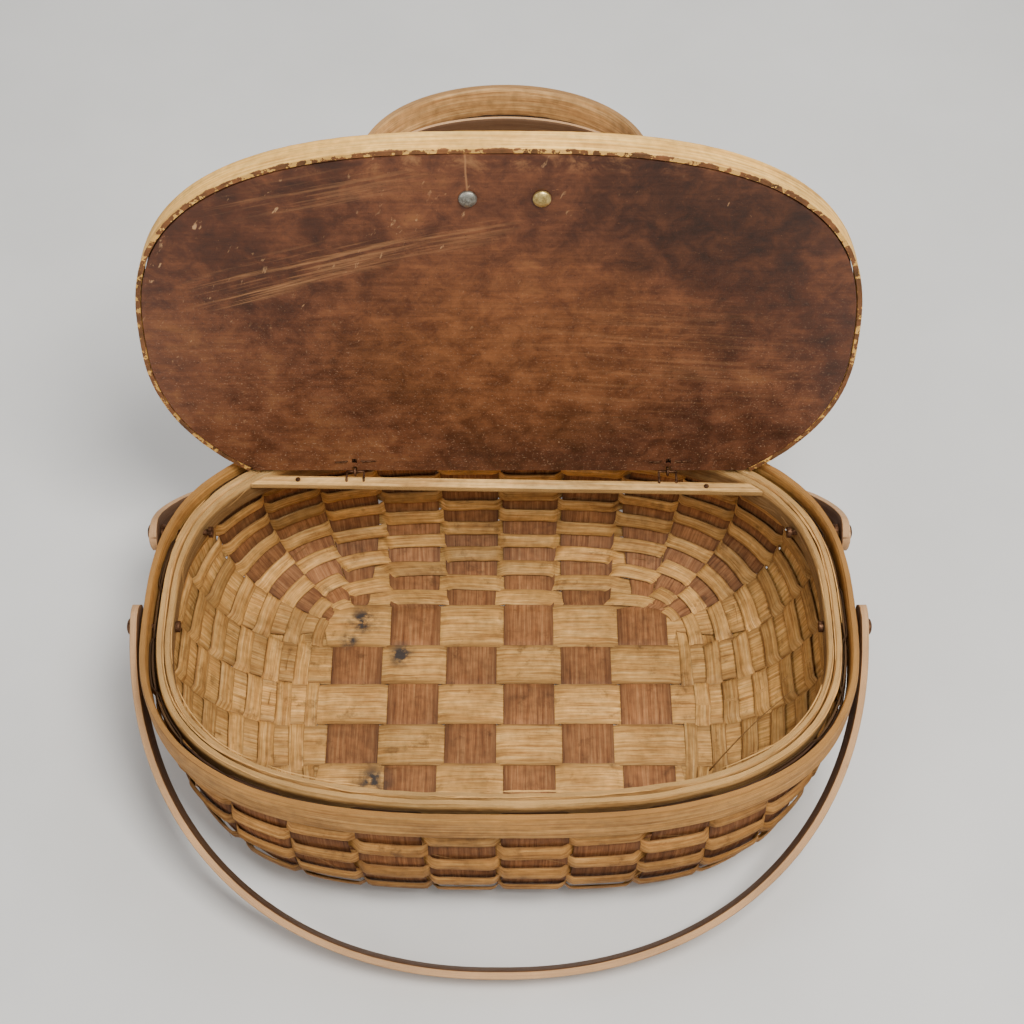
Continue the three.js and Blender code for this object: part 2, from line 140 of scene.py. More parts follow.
def tube(name, path, radius, mat, body, seg=8, radii=None):
    path = np.asarray(path, float)
    n = len(path)
    tan = np.gradient(path, axis=0)
    tan /= np.linalg.norm(tan, axis=1)[:, None] + 1e-12
    up = np.array([0.0, 0.0, 1.0]) if abs(tan[0, 2]) < 0.9 else np.array([1.0, 0, 0])
    A = np.cross(tan[0], up); A /= np.linalg.norm(A)
    verts, uvs = [], []
    rr = np.full(n, radius) if radii is None else np.asarray(radii)
    L = 0
    for i in range(n):
        A = A - tan[i] * (A @ tan[i]); A /= np.linalg.norm(A) + 1e-12
        Bv = np.cross(tan[i], A)
        if i: L += np.linalg.norm(path[i] - path[i - 1])
        for k in range(seg):
            t = 2 * math.pi * k / seg
            verts.append(path[i] + rr[i] * (math.cos(t) * A + math.sin(t) * Bv))
            uvs.append((L / 10, k / seg))
    faces = []
    for i in range(n - 1):
        for k in range(seg):
            m = (k + 1) % seg
            faces.append((i * seg + k, (i + 1) * seg + k, (i + 1) * seg + m, i * seg + m))
    faces.append(tuple(range(seg)))
    faces.append(tuple((n - 1) * seg + k for k in reversed(range(seg))))
    nv = len(verts)
    return make_object(name, verts, faces, uvs, dict(edge=np.zeros(nv), side=np.ones(nv), tone=np.full(nv, 0.5), seed=np.full(nv, 0.3)), mat, body)

def fillet(points, r, steps=5):
    """round the corners of a 3-D polyline"""
    P = [np.asarray(p, float) for p in points]
    out = [P[0]]
    for i in range(1, len(P) - 1):
        a, b, c = P[i - 1], P[i], P[i + 1]
        d1, d2 = np.linalg.norm(a - b), np.linalg.norm(c - b)
        q = min(r, d1 * 0.45, d2 * 0.45)
        p0, p1 = b + (a - b) / d1 * q, b + (c - b) / d2 * q
        for k in range(steps + 1):
            t = k / steps
            out.append((1 - t) ** 2 * p0 + 2 * t * (1 - t) * b + t * t * p1)
    out.append(P[-1])
    return np.array(out)

# ---------------------------------------------------------------- materials
def node(nt, kind, inputs=None, **props):
    n = nt.nodes.new(kind)
    for k, v in props.items():
        setattr(n, k, v)
    for k, v in (inputs or {}).items():
        s = n.inputs[k]
        if isinstance(v, bpy.types.NodeSocket):
            nt.links.new(v, s)
        else:
            s.default_value = v
    return n

def mixc(nt, fac, a, b, blend='MIX'):
    n = nt.nodes.new('ShaderNodeMix')
    n.data_type = 'RGBA'
    n.blend_type = blend
    n.clamp_factor = True
    for idx, v in ((0, fac), (6, a), (7, b)):
        if isinstance(v, bpy.types.NodeSocket):
            nt.links.new(v, n.inputs[idx])
        else:
            n.inputs[idx].default_value = v
    return n.outputs[2]

def math_(nt, op, a, b=None, c=None, clamp=False):
    n = nt.nodes.new('ShaderNodeMath')
    n.operation = op
    n.use_clamp = clamp
    for i, v in enumerate((a, b, c)):
        if v is None:
            continue
        if isinstance(v, bpy.types.NodeSocket):
            nt.links.new(v, n.inputs[i])
        else:
            n.inputs[i].default_value = v
    return n.outputs[0]

def ramp(nt, fac, stops):
    n = nt.nodes.new('ShaderNodeValToRGB')
    cr = n.color_ramp
    while len(cr.elements) < len(stops):
        cr.elements.new(0.5)
    for e, (p, c) in zip(cr.elements, stops):
        e.position = p
        e.color = (*c, 1.0) if len(c) == 3 else c
    nt.links.new(fac, n.inputs[0])
    return n.outputs[0]

def grey(nt, fac, lo, hi, p0=0.0, p1=1.0):
    return ramp(nt, fac, [(p0, (lo,) * 3), (p1, (hi,) * 3)])

def noise(nt, vec, scale, detail=4.0, rough=0.55, dist=0.0):
    return node(nt, 'ShaderNodeTexNoise', {'Vector': vec, 'Scale': scale, 'Detail': detail, 'Roughness': rough, 'Distortion': dist}).outputs[0]

def mapped(nt, vec, scale, loc=(0, 0, 0)):
    return node(nt, 'ShaderNodeMapping', {'Vector': vec, 'Scale': scale, 'Location': loc}).outputs[0]

def srgb(h):
    h = h.lstrip('#')
    c = [int(h[i:i + 2], 16) / 255 for i in (0, 2, 4)]
    return tuple(x / 12.92 if x <= 0.04045 else ((x + 0.055) / 1.055) ** 2.4 for x in c)

def lid_coords(nt):
    """board coordinates in metres: across, up the open board from the hinge axis, through its thickness from mid-plane"""
    obj = node(nt, 'ShaderNodeTexCoord').outputs['Object']
    c, s_ = math.cos(LID_OPEN), math.sin(LID_OPEN)
    uh, ud = (0, -c, s_), (0, s_, c)
    mid_y = (LID_Z + LID_T / 2 - AX_Z) * s_ + AX_Y
    mid_z = (LID_Z + LID_T / 2 - AX_Z) * c + AX_Z
    def dot(v):
        return node(nt, 'ShaderNodeVectorMath', {0: obj, 1: v}, operation='DOT_PRODUCT').outputs['Value']
    h0 = (uh[1] * AX_Y + uh[2] * AX_Z) * MM
    d0 = (ud[1] * mid_y + ud[2] * mid_z) * MM
    return dot((1, 0, 0)), math_(nt, 'SUBTRACT', dot(uh), h0), math_(nt, 'SUBTRACT', dot(ud), d0)

def wood(name, dark, mid, light, stretch=1.0, fine=1.0, stain=0.25, edge_shade=0.35, edge_shade_col=None,
         inner=None, rough=(0.55, 0.8), bump=0.35, tone_amt=0.5, woven_wall=False, lid_stain=False, hoop_painted_shade=False):
    """long-grained strip wood: grain follows the strip through its UVs (in cm)"""
    m = bpy.data.materials.new(name)
    m.use_nodes = True
    nt = m.node_tree
    nt.nodes.clear()
    out = node(nt, 'ShaderNodeOutputMaterial')
    uv = node(nt, 'ShaderNodeUVMap', uv_map='UVMap').outputs[0]
    obj = node(nt, 'ShaderNodeTexCoord').outputs['Object']
    tone = node(nt, 'ShaderNodeAttribute', attribute_name='tone').outputs['Fac']
    edge = node(nt, 'ShaderNodeAttribute', attribute_name='edge').outputs['Fac']
    side = node(nt, 'ShaderNodeAttribute', attribute_name='side').outputs['Fac']
    # offset each strip's grain by its seed
    seed = node(nt, 'ShaderNodeAttribute', attribute_name='seed').outputs['Fac']
    off = node(nt, 'ShaderNodeCombineXYZ', {'X': math_(nt, 'MULTIPLY', seed, 137.0), 'Y': math_(nt, 'MULTIPLY', seed, 91.0), 'Z': 0.0}).outputs[0]
    vec = node(nt, 'ShaderNodeVectorMath', {0: uv, 1: off}, operation='ADD').outputs[0]
    g1 = noise(nt, mapped(nt, vec, (0.22 * stretch, 7.0, 1)), 1.0, 5, 0.6, 0.25)
    g2 = noise(nt, mapped(nt, vec, (0.9 * stretch, 34.0 * fine, 1)), 1.0, 4, 0.65)
    g3 = noise(nt, mapped(nt, vec, (2.4, 2.0, 1)), 1.0, 3, 0.5)
    big = noise(nt, mapped(nt, obj, (22, 22, 30)), 1.0, 4, 0.6)
    small = noise(nt, mapped(nt, obj, (260, 260, 260)), 1.0, 3, 0.6)
    gsum = math_(nt, 'ADD', math_(nt, 'MULTIPLY', g1, 0.62), math_(nt, 'MULTIPLY', g2, 0.38))
    col = ramp(nt, gsum, [(0.28, dark), (0.5, mid), (0.72, light)])
    # broad light and dark patches of age
    patch = grey(nt, math_(nt, 'ADD', math_(nt, 'MULTIPLY', big, 0.6), math_(nt, 'MULTIPLY', g3, 0.4)), 1 - stain, 1 + stain * 0.55, 0.35, 0.65)
    col = mixc(nt, 1.0, col, patch, 'MULTIPLY')
    # each strip has its own lightness and warmth
    tl = grey(nt, tone, 1 - tone_amt * 0.55, 1 + tone_amt * 0.35, 0.0, 1.0)
    col = mixc(nt, 1.0, col, tl, 'MULTIPLY')
    # dark fine fibres and specks
    fib = ramp(nt, g2, [(0.30, (0.0,) * 3), (0.40, (1.0,) * 3)])
    col = mixc(nt, 0.45, col, mixc(nt, 1.0, col, fib, 'MULTIPLY'))
    speck = ramp(nt, small, [(0.70, (0.0,) * 3), (0.78, (1.0,) * 3)])
    col = mixc(nt, math_(nt, 'MULTIPLY', speck, 0.35), col, (*dark, 1))
    # painted shade along the strip's edges, where strips meet
    e = math_(nt, 'POWER', edge, 5.0)
    e = math_(nt, 'MULTIPLY', e, math_(nt, 'ADD', math_(nt, 'MULTIPLY', g3, 1.2), 0.1), clamp=True)
    col = mixc(nt, math_(nt, 'MULTIPLY', e, edge_shade, clamp=True), col, (*(edge_shade_col or tuple(c * 0.35 for c in dark)), 1))
    if inner is not None:
        # painted shade: the face turned to the inside of the bend is darkened as if in shadow
        f = math_(nt, 'SUBTRACT', 1.0, side)
        f = math_(nt, 'MULTIPLY', f, math_(nt, 'LESS_THAN', edge, 0.93))
        inner_shade_col = mixc(nt, math_(nt, 'MULTIPLY', gsum, 0.8), (*inner, 1), (*tuple(min(1, c * 2.3) for c in inner), 1))
        col = mixc(nt, math_(nt, 'MULTIPLY', f, 0.9), col, inner_shade_col)
    # soft lengthwise streaks of differing colour
    streak = noise(nt, mapped(nt, vec, (0.35 * stretch, 2.6, 1), (5.1, 2.2, 0)), 1.0, 3, 0.6)
    col = mixc(nt, grey(nt, streak, 0.0, 0.55, 0.50, 0.66), col, mixc(nt, 1.0, col, (0.62, 0.50, 0.40, 1), 'MULTIPLY'))
    col = mixc(nt, grey(nt, streak, 0.35, 0.0, 0.34, 0.48), col, mixc(nt, 1.0, col, (1.22, 1.20, 1.12, 1), 'MULTIPLY'))
    if hoop_painted_shade:
        # painted shade: the hoops darken to dark brown below their top edge
        sepz = node(nt, 'ShaderNodeSeparateXYZ', {0: obj}).outputs[2]
        zd = math_(nt, 'MULTIPLY', math_(nt, 'SUBTRACT', math_(nt, 'ADD', 0.0968, math_(nt, 'MULTIPLY', math_(nt, 'SUBTRACT', g3, 0.5), 0.004)), sepz), 330.0, clamp=True)
        col = mixc(nt, math_(nt, 'MULTIPLY', zd, 0.72), col, (*srgb('4a2d16'), 1))
    if woven_wall:
        # painted shade between the hoops, and grey stains on the base
        sep = node(nt, 'ShaderNodeSeparateXYZ', {0: obj})
        zt = math_(nt, 'MULTIPLY', math_(nt, 'SUBTRACT', sep.outputs[2], 0.0855), 160.0, clamp=True)
        col = mixc(nt, math_(nt, 'MULTIPLY', zt, 0.86), col, (*srgb('24150b'), 1))
        low = math_(nt, 'SUBTRACT', 1.0, math_(nt, 'MULTIPLY', math_(nt, 'SUBTRACT', sep.outputs[2], 0.006), 120.0, clamp=True))
        acc = None
        for sx_, sy_, rr_ in ((-0.077, 0.053, 0.013), (-0.055, 0.031, 0.010), (-0.067, -0.047, 0.012), (-0.084, 0.040, 0.007)):
            dv = node(nt, 'ShaderNodeVectorMath', {0: obj, 1: (sx_, sy_, 0.003)}, operation='DISTANCE').outputs['Value']
            f = math_(nt, 'SUBTRACT', 1.0, math_(nt, 'DIVIDE', dv, rr_), clamp=True)
            acc = f if acc is None else math_(nt, 'MAXIMUM', acc, f)
        acc = math_(nt, 'MULTIPLY', acc, math_(nt, 'MULTIPLY', grey(nt, noise(nt, mapped(nt, obj, (150, 150, 150)), 1.0, 5, 0.65), 0.0, 1.0, 0.36, 0.56), low))
        col = mixc(nt, math_(nt, 'MULTIPLY', acc, 1.5, clamp=True), col, (*srgb('3b3430'), 1))
        # the outside has darkened more than the inside
        outf = math_(nt, 'MULTIPLY', side, math_(nt, 'MULTIPLY', math_(nt, 'SUBTRACT', sep.outputs[2], 0.003), 120.0, clamp=True))
        col = mixc(nt, math_(nt, 'MULTIPLY', outf, 0.75), col, mixc(nt, 1.0, col, (0.72, 0.58, 0.42, 1), 'MULTIPLY'))
        # scorched and dirty freckles
        fr = noise(nt, mapped(nt, obj, (95, 95, 95), (2.3, 0.4, 1.1)), 1.0, 4, 0.7)
        col = mixc(nt, grey(nt, fr, 0.0, 0.62, 0.58, 0.72), col, (*srgb('4a2c14'), 1))
    if lid_stain:
        # brown stain carried from the underside over the lower edge
        lx, lh, ld = lid_coords(nt)
        wob = math_(nt, 'MULTIPLY', math_(nt, 'SUBTRACT', noise(nt, mapped(nt, obj, (170, 170, 170)), 1.0, 4, 0.65), 0.5), 0.006)
        m_ = math_(nt, 'LESS_THAN', math_(nt, 'ADD', ld, wob), -0.0071)
        st = noise(nt, mapped(nt, obj, (120, 120, 120)), 1.0, 5, 0.6)
        col = mixc(nt, math_(nt, 'MULTIPLY', m_, 0.93), col, ramp(nt, st, [(0.3, srgb('3a1f12')), (0.7, srgb('7c4a2c'))]))
    r = grey(nt, gsum, rough[1], rough[0], 0.3, 0.7)
    hgt = math_(nt, 'ADD', math_(nt, 'MULTIPLY', g1, 0.5), math_(nt, 'MULTIPLY', g2, 0.8))
    hgt = math_(nt, 'ADD', hgt, math_(nt, 'MULTIPLY', small, 0.25))
    bmp = node(nt, 'ShaderNodeBump', {'Strength': bump, 'Distance': 0.0006, 'Height': hgt}).outputs[0]
    bs = node(nt, 'ShaderNodeBsdfPrincipled', {'Base Color': col, 'Roughness': r, 'Normal': bmp, 'Specular IOR Level': 0.35})
    nt.links.new(bs.outputs[0], out.inputs[0])
    return m

def metal(name, base, dirt, rough=0.42, dirt_amt=0.55):
    m = bpy.data.materials.new(name)
    m.use_nodes = True
    nt = m.node_tree
    nt.nodes.clear()
    out = node(nt, 'ShaderNodeOutputMaterial')
    obj = node(nt, 'ShaderNodeTexCoord').outputs['Object']
    n1 = noise(nt, obj, 420.0, 5, 0.65)
    n2 = noise(nt, obj, 1700.0, 3, 0.6)
    col = mixc(nt, grey(nt, n1, 0.0, dirt_amt, 0.42, 0.62), (*base, 1), (*dirt, 1))
    col = mixc(nt, 0.35, col, mixc(nt, 1.0, col, grey(nt, n2, 0.5, 1.3, 0.3, 0.7), 'MULTIPLY'))
    r = grey(nt, n1, rough, rough + 0.3, 0.4, 0.65)
    bmp = node(nt, 'ShaderNodeBump', {'Strength': 0.3, 'Distance': 0.0002, 'Height': n1}).outputs[0]
    bs = node(nt, 'ShaderNodeBsdfPrincipled', {'Base Color': col, 'Metallic': 1.0, 'Roughness': r, 'Normal': bmp})
    nt.links.new(bs.outputs[0], out.inputs[0])
    return m

M_SPLINT = wood('splint_tan', srgb('74461e'), srgb('c5934f'), srgb('ebc382'), stain=0.40, edge_shade=0.8, bump=0.55, tone_amt=0.75, woven_wall=True)
M_STAKE = wood('splint_rust', srgb('55301a'), srgb('96633a'), srgb('bb8a58'), stain=0.45, edge_shade=0.8, bump=0.55, tone_amt=0.6, woven_wall=True)
M_BAND = wood('band_strip', srgb('6f461c'), srgb('b6813f'), srgb('dcad69'), stretch=0.6, fine=1.2, stain=0.32, edge_shade=0.4, bump=0.5, tone_amt=0.35)
M_RIM = wood('rim_strip', srgb('b2782f'), srgb('f2ba5e'), srgb('ffdc8a'), stretch=0.6, stain=0.34, edge_shade=0.3, bump=0.4, tone_amt=0.3, lid_stain=True)
M_PALE = wood('hoop_pale', srgb('8f5f2a'), srgb('dfae68'), srgb('f8d999'), stretch=0.8, fine=1.4, stain=0.34, edge_shade=0.35, bump=0.8, tone_amt=0.5, hoop_painted_shade=True)
# the bail's dark inner-face colour is painted shade
M_BAIL = wood('bail_strip', srgb('8d6440'), srgb('c79a6c'), srgb('e6c496'), stretch=0.6, stain=0.25, edge_shade=0.0, inner=srgb('3a2415'), bump=0.5, tone_amt=0.3)
M_GRIP = wood('grip_strip', srgb('7f5228'), srgb('c6955a'), srgb('efc98c'), stretch=0.6, stain=0.42, edge_shade=0.6, bump=0.5, tone_amt=0.3)
# near-black torn fibre: its darkness is painted shade
M_TORN_SHADE = wood('torn_fibre_shade', srgb('1c110a'), srgb('3f2917'), srgb('7b5632'), stretch=0.8, fine=1.6, stain=0.4, edge_shade=0.6, bump=0.9, tone_amt=0.2)
M_STEEL = metal('old_steel', srgb('a8a69c'), srgb('4a3a2c'))
M_BRASS = metal('old_brass', srgb('d6bd7c'), srgb('6b5330'))
M_RUST = metal('rusty_wire', srgb('7a5a44'), srgb('3a2114'), rough=0.6, dirt_amt=0.9)

# ---------------------------------------------------------------- woven body
# level: height, half width, half depth, squareness of the outer surface
LEV = np.array([
    [0, 98, 63, 8.0], [0, 108, 78, 4.6], [1.2, 119, 90, 4.2], [6, 131, 102, 3.8], [15, 144, 112, 3.5],
    [28, 155, 118, 3.3], [42, 163, 119.2, 3.1], [56, 168.3, 117.8, 2.98], [70, 171.6, 115.3, 2.88],
    [79, 173.55, 113.55, 2.8], [95.0, 173.55, 113.55, 2.8]])
_d = np.diff(LEV, axis=0)
LEV_S = np.concatenate([[0], np.cumsum(np.sqrt(_d[:, 0] ** 2 + ((_d[:, 1] + _d[:, 2]) / 2) ** 2))])
S_MAX = LEV_S[-1]

def level(s):
    s = np.clip(s, 0, S_MAX)
    return [np.interp(s, LEV_S, LEV[:, k]) for k in range(4)]

def ring_xy(phi, a, b, n):
    c, sn = np.cos(phi), np.sin(phi)
    r = (np.abs(c / a) ** n + np.abs(sn / b) ** n) ** (-1 / n)
    return r * c, r * sn

def raw(phi, s):
    phi, s = np.broadcast_arrays(np.asarray(phi, float), np.asarray(s, float))
    # average a few levels so that the profile bends smoothly
    acc = 0
    for ds, w in ((-4.0, 0.25), (0.0, 0.5), (4.0, 0.25)):
        z, a, b, n = level(s + ds)
        x, y = ring_xy(phi, a, b, n)
        acc = acc + w * np.stack([x, y, z], -1)
    return acc

def surf(phi, s):
    """point in the middle of the wall, outward normal"""
    p = raw(phi, s)
    dp = raw(phi + 1e-3, s) - raw(phi - 1e-3, s)
    dv = raw(phi, s + 0.5) - raw(phi, s - 0.5)
    n = np.cross(dp, dv)
    n /= np.linalg.norm(n, axis=-1, keepdims=True) + 1e-12
    return p - n * (WALL_T / 2), n, np.linalg.norm(dp, axis=-1) / 2e-3

def fb_phi(x, s, sgn):
    z, a, b, n = level(s)
    x = x * (1 + 0.12 * s / S_MAX)
    y = b * np.maximum(1 - np.abs(x / a) ** n, 0) ** (1 / n)
    return np.arctan2(sgn * y, x)

def lr_phi(y, s, sgn):
    z, a, b, n = level(s)
    y = y * (1 + 0.22 * s / S_MAX)
    x = a * np.maximum(1 - np.abs(y / b) ** n, 0) ** (1 / n)
    return np.arctan2(y, sgn * x)

FBX = [-79, -47.5, -16, 15.5, 47, 79]
FB_PITCH = 31.6
LRY = [-50, -25, 0, 25, 50]
def stake_table(s):
    """angles of all the stakes at s, in order round the basket from +X"""
    s = np.asarray(s, float)
    two = 2 * np.pi
    rows = []
    right = [lr_phi(y, s, 1) for y in LRY]            # -50..50, angles about 0
    back = [fb_phi(x, s, 1) for x in FBX[::-1]]
    left = [lr_phi(y, s, -1) % two for y in LRY[::-1]]
    front = [fb_phi(x, s, -1) % two for x in FBX]
    def between(a, b):
        return [a + (b - a) * f for f in (0.335, 0.665)]
    rows += right[2:]
    rows += between(right[-1], back[0]) + back + between(back[-1], left[0]) + left
    rows += between(left[-1], front[0]) + front + between(front[-1], right[0] + two) + [r + two for r in right[:2]]
    return np.array(rows)      # 30 x shape(s)

NST = 30
def weave_phase(phi, s):
    """stake index, fractional, at angle phi (0..2pi) and height s"""
    tab = stake_table(s)
    ext = np.concatenate([tab[-1:] - 2 * np.pi, tab, tab[:1] + 2 * np.pi])
    return np.interp(phi, ext, np.arange(-1, NST + 1))

def clampwave(w, k=3.0):
    return np.sin(np.clip(w * k, -1, 1) * np.pi / 2)

first_piece = []
def woven(ob):
    if not first_piece:
        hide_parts('woven_body')
        first_piece.append(ob)
    set_sharp(ob, 60)

# side weavers
ROWS, S0 = 15, 0.2
PITCH = (S_MAX - 0.4 - S0) / ROWS
prof = np.array([-1, -0.86, -0.5, 0, 0.5, 0.86, 1])
thf = np.array([0.35, 0.8, 1.0, 1.1, 1.0, 0.8, 0.35])
for k in range(ROWS):
    s_k = S0 + PITCH * (k + 0.5)
    n_s = NST * 14
    phi = np.linspace(0, 2 * np.pi, n_s, endpoint=False)
    # even spacing round the row
    dens = surf(phi, s_k)[2]
    cum = np.concatenate([[0], np.cumsum((dens + np.roll(dens, -1)) / 2)])
    phi = np.interp(np.linspace(0, cum[-1], n_s, endpoint=False), cum, np.linspace(0, 2 * np.pi, n_s + 1))
    q = weave_phase(phi, s_k)
    wave = np.cos(np.pi * (q + k))
    high = float(np.clip((s_k - (S_MAX - 24)) / 8, 0, 1))
    amp = 2.0 * (1 - high) + 1.2 * high
    amp = min(amp, 0.55 + 0.5 * k)
    off = amp * clampwave(wave)
    vis = np.abs(clampwave(wave))
    wig = 0.55 * smooth_noise(phi * 16 / (2 * np.pi), 100 + k, 16) + 0.35 * smooth_noise(phi * 64 / (2 * np.pi), 200 + k, 64)
    width = PITCH * (1.05 + 0.05 * smooth_noise(phi * 32 / (2 * np.pi), 300 + k, 32) + 0.12 * (1 - vis))
    mid = np.zeros((n_s, 7, 3)); nr = np.zeros_like(mid)
    skew = 0.3 * smooth_noise(phi * 32 / (2 * np.pi), 350 + k, 32)
    for j, p in enumerate(prof):
        sj = s_k + wig + p * width / 2
        c, n, _ = surf(phi, sj)
        crown = min(0.75 - 0.3 * high, 0.2 + 0.2 * k) * (1 - p * p) * clampwave(wave)
        mid[:, j] = c + n * (off + crown + skew * p)[:, None]
        nr[:, j] = n
    th = 0.95 * thf[None, :] * np.ones((n_s, 1))
    # tone changes from splint to splint along a row
    cell = np.floor((q + k + 0.5) / 2)
    tn = 0.5 + 0.28 * smooth_noise(phi * 7 / (2 * np.pi), 400 + k, 7) + 0.22 * np.random.default_rng(500 + k).uniform(-1, 1, 64)[(cell.astype(int)) % (NST // 2)]
    tn = np.clip(tn, 0, 1)
    ob = slab('weaver_row_%02d' % (k + 1), mid, nr, th, M_SPLINT, 'basket', closed=True, tones=tn)
    woven(ob)

# stakes: the base splints, turned up into the walls
def stake_wall(s, phi_fn, width_fn, sign, index):
    s = np.asarray(s)
    phi_c = phi_fn(s)
    out_mid, out_n = [], []
    q0 = index
    row = (s - S0) / PITCH - 0.5
    und = -0.28 * np.cos(np.pi * (q0 + row)) * np.clip((s - 2) / 6, 0, 1)
    w = width_fn(s)
    J = 7
    for u in np.linspace(-1, 1, J):
        _, _, sp = surf(phi_c, s)
        ph = phi_c + sign * u * (w / 2) / sp
        c, n, _ = surf(ph, s)
        out_mid.append(c + n * und[:, None]); out_n.append(n)
    return np.stack(out_mid, 1), np.stack(out_n, 1)

def base_part(along, xy_fn, wdir, width, off):
    J = 7
    mids, ns = [], []
    for u in np.linspace(-1, 1, J):
        p = xy_fn(along) + wdir * u * width / 2
        mids.append(np.stack([p[:, 0], p[:, 1], WALL_T / 2 + off], -1))
        ns.append(np.tile([0, 0, -1.0], (len(along), 1)))
    return np.stack(mids, 1), np.stack(ns, 1)

S_WALL = np.linspace(0.8, S_MAX - 0.5, 64)
ring0 = LEV[0]
def spacing(idx, s):
    tab = stake_table(s)
    a = np.abs(tab[(idx + 1) % NST] - tab[idx]) % (2 * np.pi)
    b = np.abs(tab[idx] - tab[(idx - 1) % NST]) % (2 * np.pi)
    a = np.minimum(a, 2 * np.pi - a); b = np.minimum(b, 2 * np.pi - b)
    sp = surf(tab[idx], s)[2]
    return np.minimum(a, b) * sp

STH = np.array([0.4, 0.85, 1.0, 1.0, 1.0, 0.85, 0.4]) * 1.0
tones_fb = [0.35, 0.62, 0.4, 0.55, 0.3, 0.5]
tones_lr = [0.75, 0.6, 0.85, 0.55, 0.7]
for i, x in enumerate(FBX):
    idx_b = 5 + (5 - i)                           # place in the ring order, back end
    idx_f = 20 + i
    y0 = ring0[2] * max(1 - abs(x / ring0[1]) ** ring0[3], 0) ** (1 / ring0[3])
    ya = np.linspace(-y0, y0, 90)
    sgn = clampwave(np.cos(np.pi * (ya / 25.0 + i + 1)), 2.6)
    off = 0.62 * sgn * np.clip((y0 - np.abs(ya)) / 4, 0, 1)
    W = 28.2
    wf = lambda s, k=idx_f: np.minimum(W + 8.0 * s / S_MAX, 0.985 * spacing(k, s))
    wb = lambda s, k=idx_b: np.minimum(W + 8.0 * s / S_MAX, 0.985 * spacing(k, s))
    mf, nf = stake_wall(S_WALL, lambda s: fb_phi(x, s, -1), wf, 1, idx_f)
    mb, nb = stake_wall(S_WALL, lambda s: fb_phi(x, s, 1), wb, -1, idx_b)
    m0, n0 = base_part(ya, lambda a: np.stack([np.full_like(a, x), a], -1), np.array([1.0, 0]), W - 0.6, off)
    mid = np.concatenate([mf[::-1], m0, mb]); nr = np.concatenate([nf[::-1], n0, nb])
    th = np.tile(STH, (len(mid), 1))
    woven(slab('stake_long_%d' % (i + 1), mid, nr, th, M_STAKE, 'basket', tone=tones_fb[i]))
for jn, y in enumerate(LRY):
    idx_r = (28, 29, 0, 1, 2)[jn]
    idx_l = 13 + (4 - jn)
    x0 = ring0[1] * max(1 - abs(y / ring0[2]) ** ring0[3], 0) ** (1 / ring0[3])
    xa = np.linspace(-x0, x0, 120)
    sgn = clampwave(np.cos(np.pi * ((jn - 2) + (xa + 79.0) / FB_PITCH + 1)), 2.6)
    off = -0.62 * sgn * np.clip((x0 - np.abs(xa)) / 4, 0, 1)
    W = 24.7
    wr = lambda s, k=idx_r: np.minimum(W + 8.0 * s / S_MAX, 0.985 * spacing(k, s))
    wl = lambda s, k=idx_l: np.minimum(W + 8.0 * s / S_MAX, 0.985 * spacing(k, s))
    mr, n_r = stake_wall(S_WALL, lambda s: lr_phi(y, s, 1), wr, 1, idx_r)
    ml, n_l = stake_wall(S_WALL, lambda s: lr_phi(y, s, -1), wl, -1, idx_l)
    m0, n0 = base_part(xa, lambda a: np.stack([a, np.full_like(a, y)], -1), np.array([0, 1.0]), W + (3.0 if jn in (0, 4) else 0.0), off)
    mid = np.concatenate([ml[::-1], m0, mr]); nr = np.concatenate([n_l[::-1], n0, n_r])
    th = np.tile(STH, (len(mid), 1))
    woven(slab('stake_cross_%d' % (jn + 1), mid, nr, th, M_SPLINT, 'basket', tone=tones_lr[jn]))
corner_idx = [3, 4, 11, 12, 18, 19, 26, 27]
for c, idx in enumerate(corner_idx):
    s = np.linspace(5.0, S_MAX - 0.5, 60)
    wfn = lambda q, k=idx: np.minimum(38.0, 0.98 * spacing(k, q)) * np.clip((q + 3) / 12, 0.45, 1)
    mid, nr = stake_wall(s, lambda q, k=idx: stake_table(q)[k], wfn, 1, idx)
    # its inner end is tucked under the edge of the base
    c0, w0 = mid[0, 3].copy(), mid[0, 6] - mid[0, 0]
    w0 = w0 / (np.linalg.norm(w0) + 1e-9)
    ext, exn = [], []
    for f in np.linspace(0.70, 0.985, 14):
        cc = np.array([c0[0] * f, c0[1] * f, 0.62 + (c0[2] - 0.62) * max(0, (f - 0.93) / 0.055)])
        hw = 10.0 * (1 - 0.1 * f)
        ext.append(np.stack([cc + w0 * u * hw for u in np.linspace(-1, 1, 7)]))
        exn.append(np.tile([0, 0, -1.0], (7, 1)))
    mid = np.concatenate([np.array(ext), mid]); nr = np.concatenate([np.array(exn), nr])
    th = np.tile(STH, (len(mid), 1))
    woven(slab('stake_corner_%d' % (c + 1), mid, nr, th, M_STAKE, 'basket', tone=[0.3, 0.5, 0.65, 0.2, 0.4, 0.7, 0.35, 0.55][c]))

# short splint ends tucked under the base beside its corners
for e, (sx, sy) in enumerate([(-1, 1), (1, 1), (-1, -1), (1, -1)]):
    xs = np.linspace(78, 109, 24)
    mid = np.zeros((24, 7, 3)); nr = np.zeros((24, 7, 3)); nr[..., 2] = -1
    for j, u in enumerate(np.linspace(-1, 1, 7)):
        mid[:, j, 0] = sx * xs
        mid[:, j, 1] = sy * (41 + u * 11 * (1 - 0.25 * np.clip((xs - 95) / 14, 0, 1)))
        mid[:, j, 2] = 0.6 + 0.5 * np.clip((xs - 100) / 9, 0, 1)
    woven(slab('tucked_end_%d' % (e + 1), mid, nr, np.tile(STH * 0.7, (24, 1)), M_SPLINT, 'basket', tone=0.4))

